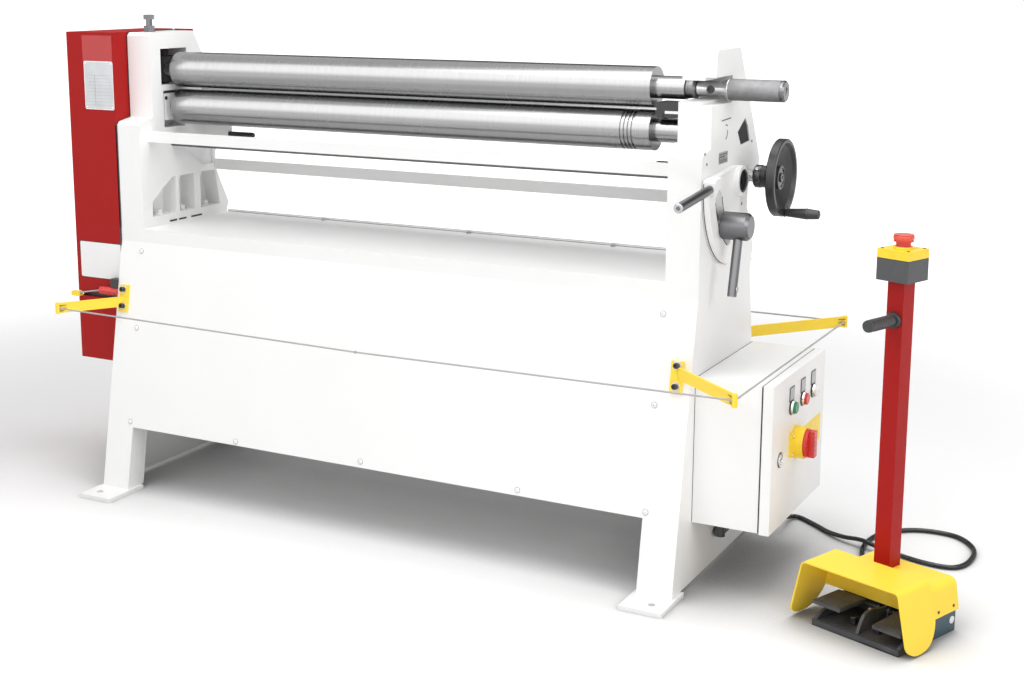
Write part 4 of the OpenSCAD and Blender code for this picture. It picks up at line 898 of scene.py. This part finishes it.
def pedestal_details():
    """Trim of the stop box, the button's head, the handle's grip, and the base's sides."""
    place = dict(turn=PEDESTAL)
    # Stop box: joint line, lid screws and collar; the button's head
    u, v, under = -16, 156, 716
    lid = under + 64
    seam = block((u - 37.3, v - 35.3, under + 44.2), (u + 37.3, v + 35.3, under + 45.4))
    make("stop_box_seam", BLACK, "machine", seam, slot="black_plastic", **place)
    screws = [lathe([(0, 0), (3.6, 0), (3.4, 0.9), (1.8, 1), (1.4, 0.3), (0, 0.3)],
                    (u + su * 30, v + sv * 28, lid), UP, 16) for su in (-1, 1) for sv in (-1, 1)]
    make("stop_box_screws", DARK, "machine", *screws, slot="dark_plastic", **place)
    collar = lathe([(15.6, 0), (19.6, 0), (20, 1), (19, 4), (15.6, 4.4)], (u, v, lid), UP, 40)
    make("stop_collar", YELLOW_PLASTIC, "machine", collar, slot="yellow_plastic", **place)
    head = lathe([(0, 9), (13, 9), (14.6, 10.2), (15, 15), (19.4, 17), (20.8, 19.6), (20.8, 24.6),
                  (19.8, 26.6), (17.4, 27.4), (16.4, 26.4), (0, 26)], (u, v, lid), UP, 56)
    ribs = [lathe([(0, 0), (2.2, 0), (1.4, 1), (0, 1.2)],
                  (u + 11.5 * math.cos(a), v + 11.5 * math.sin(a), lid + 26), UP, 10)
            for a in (math.radians(30 + 120 * k) for k in range(3))]
    make("stop_head", STOP_RED, "emergency_stop", head, *ribs, slot="red_plastic", **place)
    # Handle with a flange, rubber grip rings and a domed end
    root, high = v - 19, 636
    grip = [lathe([(0, 0), (16, 0), (16.8, 0.8), (16.8, 6), (15.6, 8), (12.4, 8.6)],
                  (u, root, high), FRONT, 36)]
    grip += [lathe([(11.9, 0), (12.8, 1.2), (12.8, 4.2), (11.9, 5.4)],
                   (u, root - 14 - 9.4 * k, high), FRONT, 36) for k in range(7)]
    grip.append(lathe([(12.1, 0), (12.6, 1.4), (12.6, 9), (11.2, 11.6), (7, 12.6), (0, 12.8)],
                      (u, root - 78, high), FRONT, 36))
    make("handle_grip", HANDLE_BLACK, "machine", *grip, slot="dark_plastic", **place)
    # Screws in the hood's sides; the base's sides with a white screw each
    screws = [lathe([(0, 0), (3.4, 0), (3, 1), (0, 1.2)], (s * w, depth, 61), (s, 0, 0), 14)
              for s, w in ((-1, 95), (1, 127)) for depth in (130, 184)]
    make("hood_screws", BLACK_OXIDE, "machine", *screws, slot="dark_steel", **place)
    half, thick = 103.75, 0.35
    sides = [block((RIB + s * half - thick, 106, 2), (RIB + s * half + thick, 203, 44))
             for s in (-1, 1)]
    make("base_side_panels", SIDE_BLUE, "machine", *sides, slot="dark_plastic", **place)
    body = [lathe([(0, 0), (8.4, 0), (8, 1.8), (5, 2.6), (0, 2.8)], (RIB + s * 103.4, 191, 26),
                  (s, 0, 0), 24) for s in (-1, 1)]
    make("base_side_screws", LENS, "machine", *body, slot="white_plastic", **place)


def pedal_top(side, rise):
    """One pedal's tread pad with raised bars, turned about the hinge as the pedal is at rest."""
    hinge = Matrix.Translation(Vector((RIB, *HINGE)) * MM)
    tilt = hinge @ Matrix.Rotation(math.radians(-rise), 4, "X")
    u0 = 39 if side > 0 else -106
    pad = prism(rounded(u0 + 2, u0 + 65, -102, -16, 5), top_on, 14.9, 16.2)
    lines = [block((u0 + 6, -96 + 9 * k, 16), (u0 + 61, -94.4 + 9 * k, 16.6)) for k in range(9)]
    name = "left" if side < 0 else "right"
    make(name + "_tread", BASE_GREY, name + "_pedal", pad, *lines, bevel=0.4, segments=1,
         slot="dark_plastic", turn=PEDESTAL @ tilt)


def pedal_fittings():
    """Stop bumpers and hinge lugs beside the rib, bolts in the rib, and the tray's edge."""
    bumpers = ((-17, 20), (41, 18))
    stops = [lathe([(0, 0), (8, 0), (8.6, 1), (8.6, 9), (7.6, 10), (0, 10)], (u, 50, z), UP, 28)
             for u, z in bumpers]
    stops += [block((u - 7, 44, 11.5), (u + 7, 56, z + 0.5)) for u, z in bumpers]
    make("pedal_stops", BLACK, "machine", *stops, bevel=0.8, slot="black_plastic", turn=PEDESTAL)
    lug = [(98, 11), (98, 30), (104, 44), (112, 48), (120, 44), (126, 30), (126, 11)]
    lugs = [prism(lug, side_on, u, u + 5) for u in (1.5, 25.5)]
    lugs += [lathe([(0, 0), (7.4, 0), (7.4, 2), (6, 3), (0, 3)], (u, *HINGE), (s, 0, 0), 24)
             for u, s in ((1.5, -1), (30.5, 1))]
    make("rib_lugs", BLACK_OXIDE, "machine", *lugs, bevel=0.6, slot="dark_steel", turn=PEDESTAL)
    bolts = [hex_head((RIB, v, z), UP, 5.6, 3) for v, z in ((56, 52), (114, 45))]
    make("rib_bolts", CHROME, "machine", *bolts, slot="ground_steel", turn=PEDESTAL)
    edge = [block((-87.5, 5, 12), (119.5, 8, 13.4)), block((-87.5, 5, 0.4), (119.5, 6.2, 3))]
    make("tray_edge", BASE_GREY, "machine", *edge, slot="dark_plastic", turn=PEDESTAL)


base_fastenings()
bracket_fastenings()
rope_ends()
arm_slits()
cover_details()
pull_switch_details()
door_details()
switch_handle()
door_seal()
box_elbow()
right_stand_details()
stand_details()
top_screw_details()
shaft_details()
release_grip()
roll_rest_details()
wheel_details()
grip_details()
lever_details()
pedestal_details()
for side, rise in ((-1, 1), (1, -3)):
    pedal_top(side, rise)
pedal_fittings()


# ---- Stage and light ----
def seen_white(tree):
    """1 for the rays that show the background: camera, glossy and transmission; 0 for the rest."""
    path = tree.nodes.new("ShaderNodeLightPath")
    total = path.outputs["Is Camera Ray"]
    for name in ("Is Glossy Ray", "Is Transmission Ray"):
        add = tree.nodes.new("ShaderNodeMath")
        add.use_clamp = True
        tree.links.new(total, add.inputs[0])
        tree.links.new(path.outputs[name], add.inputs[1])
        total = add.outputs["Value"]
    return total


def smooth_range(tree, value, low_at, high_at, low, high):
    """Smooth step from `low` at low_at to `high` at high_at."""
    node = tree.nodes.new("ShaderNodeMapRange")
    node.interpolation_type = "SMOOTHSTEP"
    for name, number in (("From Min", low_at), ("From Max", high_at), ("To Min", low),
                         ("To Max", high)):
        node.inputs[name].default_value = number
    tree.links.new(value, node.inputs["Value"])
    return node.outputs["Result"]


def floor_material(near, far, near_at, far_at):
    """Pale floor that glows a little near the machine and fully white far from it."""
    pale = (0.86, 0.86, 0.86)
    mat = principled("floor", pale, 0.7)
    tree = mat.node_tree
    bsdf = tree.nodes["Principled BSDF"]
    bsdf.inputs["Specular IOR Level"].default_value = 0.1
    # Painted shade: the floor's colour darkens by ambient occlusion close under and beside the
    # machine
    shade = tree.nodes.new("ShaderNodeAmbientOcclusion")
    shade.inputs["Distance"].default_value = 0.32
    shade.samples = 8
    shade.inputs["Color"].default_value = (*pale, 1)
    tree.links.new(shade.outputs["Color"], bsdf.inputs["Base Color"])
    length = tree.nodes.new("ShaderNodeVectorMath")
    length.operation = "LENGTH"
    tree.links.new(coords(tree), length.inputs[0])
    glow = smooth_range(tree, length.outputs["Value"], near_at, far_at, near, far)
    scale = tree.nodes.new("ShaderNodeMath")
    scale.operation = "MULTIPLY"
    tree.links.new(glow, scale.inputs[0])
    tree.links.new(seen_white(tree), scale.inputs[1])
    emission = tree.nodes.new("ShaderNodeEmission")
    tree.links.new(scale.outputs["Value"], emission.inputs["Strength"])
    add = tree.nodes.new("ShaderNodeAddShader")
    tree.links.new(bsdf.outputs["BSDF"], add.inputs[0])
    tree.links.new(emission.outputs["Emission"], add.inputs[1])
    tree.links.new(add.outputs["Shader"], tree.nodes["Material Output"].inputs["Surface"])
    return mat


def flat(name, mat, width, height):
    w, h = width / 2, height / 2
    corners = [(-w, -h, 0), (w, -h, 0), (w, h, 0), (-w, h, 0)]
    return new_object(name, corners, [(0, 1, 2, 3)], mat, smooth=False)


def make_floor():
    floor = flat("floor", floor_material(0.03, 1.0, 1.5, 4.6), 120, 120)


def card(name, mat, place, width, height, lean):
    """Studio card that only reflections see."""
    sheet = flat(name, mat, width, height)
    sheet.location = place
    sheet.rotation_euler = (math.radians(lean), 0, 0)
    sheet.visible_camera = False
    sheet.visible_diffuse = False
    sheet.visible_shadow = False
    sheet.visible_transmission = False


def glow_card(low, high, low_at, high_at):
    """Card material that glows from `low` at one height on the card to `high` at another."""
    mat = principled("front_card", (0, 0, 0), 1.0)
    tree = mat.node_tree
    split = tree.nodes.new("ShaderNodeSeparateXYZ")
    tree.links.new(coords(tree), split.inputs[0])
    glow = smooth_range(tree, split.outputs["Y"], low_at, high_at, low, high)
    emission = tree.nodes.new("ShaderNodeEmission")
    tree.links.new(glow, emission.inputs["Strength"])
    tree.links.new(emission.outputs["Emission"], tree.nodes["Material Output"].inputs["Surface"])
    return mat


def area_light(name, place, target, width, height, watts):
    data = bpy.data.lights.new(name, "AREA")
    data.shape = "RECTANGLE"
    data.size = width
    data.size_y = height
    data.energy = watts
    lamp = bpy.data.objects.new(name, data)
    lamp.location = place
    lamp.rotation_euler = (Vector(target) - Vector(place)).to_track_quat("-Z", "Y").to_euler()
    bpy.context.collection.objects.link(lamp)
    return lamp


def make_world(fill):
    world = bpy.data.worlds.new("world")
    bpy.context.scene.world = world
    world.use_nodes = True
    tree = world.node_tree
    plain = tree.nodes["Background"]
    plain.inputs["Color"].default_value = (1, 1, 1, 1)
    plain.inputs["Strength"].default_value = fill
    white = tree.nodes.new("ShaderNodeBackground")
    white.inputs["Color"].default_value = (1, 1, 1, 1)
    white.inputs["Strength"].default_value = 1
    mix = tree.nodes.new("ShaderNodeMixShader")
    tree.links.new(seen_white(tree), mix.inputs["Fac"])
    tree.links.new(plain.outputs["Background"], mix.inputs[1])
    tree.links.new(white.outputs["Background"], mix.inputs[2])
    tree.links.new(mix.outputs["Shader"], tree.nodes["World Output"].inputs["Surface"])


make_floor()
make_world(0.38)
card("rear_card", plastic("dark_card", (0.03, 0.03, 0.03), 0.9), (0, 3.4, 3.2), 9, 4.2, 60)
card("front_card", glow_card(1.5, 3.2, -3.0, -1.2), (0, -3.9, 3.6), 11, 7.2, 82)
key = area_light("key", (-0.4, -3.8, 3.2), (0, 0, 0.6), 4.2, 2.2, 50)
key.visible_glossy = False
area_light("top", (0.5, -0.3, 3.6), (0.2, -0.1, 0), 4.6, 2.0, 116)
low = area_light("low", (1.7, -1.4, 0.3), (1.16, -0.3, 0.08), 0.8, 0.4, 2.4)
low.visible_glossy = False
area_light("right", (4.4, -1.2, 2.4), (0.6, 0, 0.6), 2.0, 2.2, 48)
bpy.context.scene.view_settings.view_transform = "Standard"
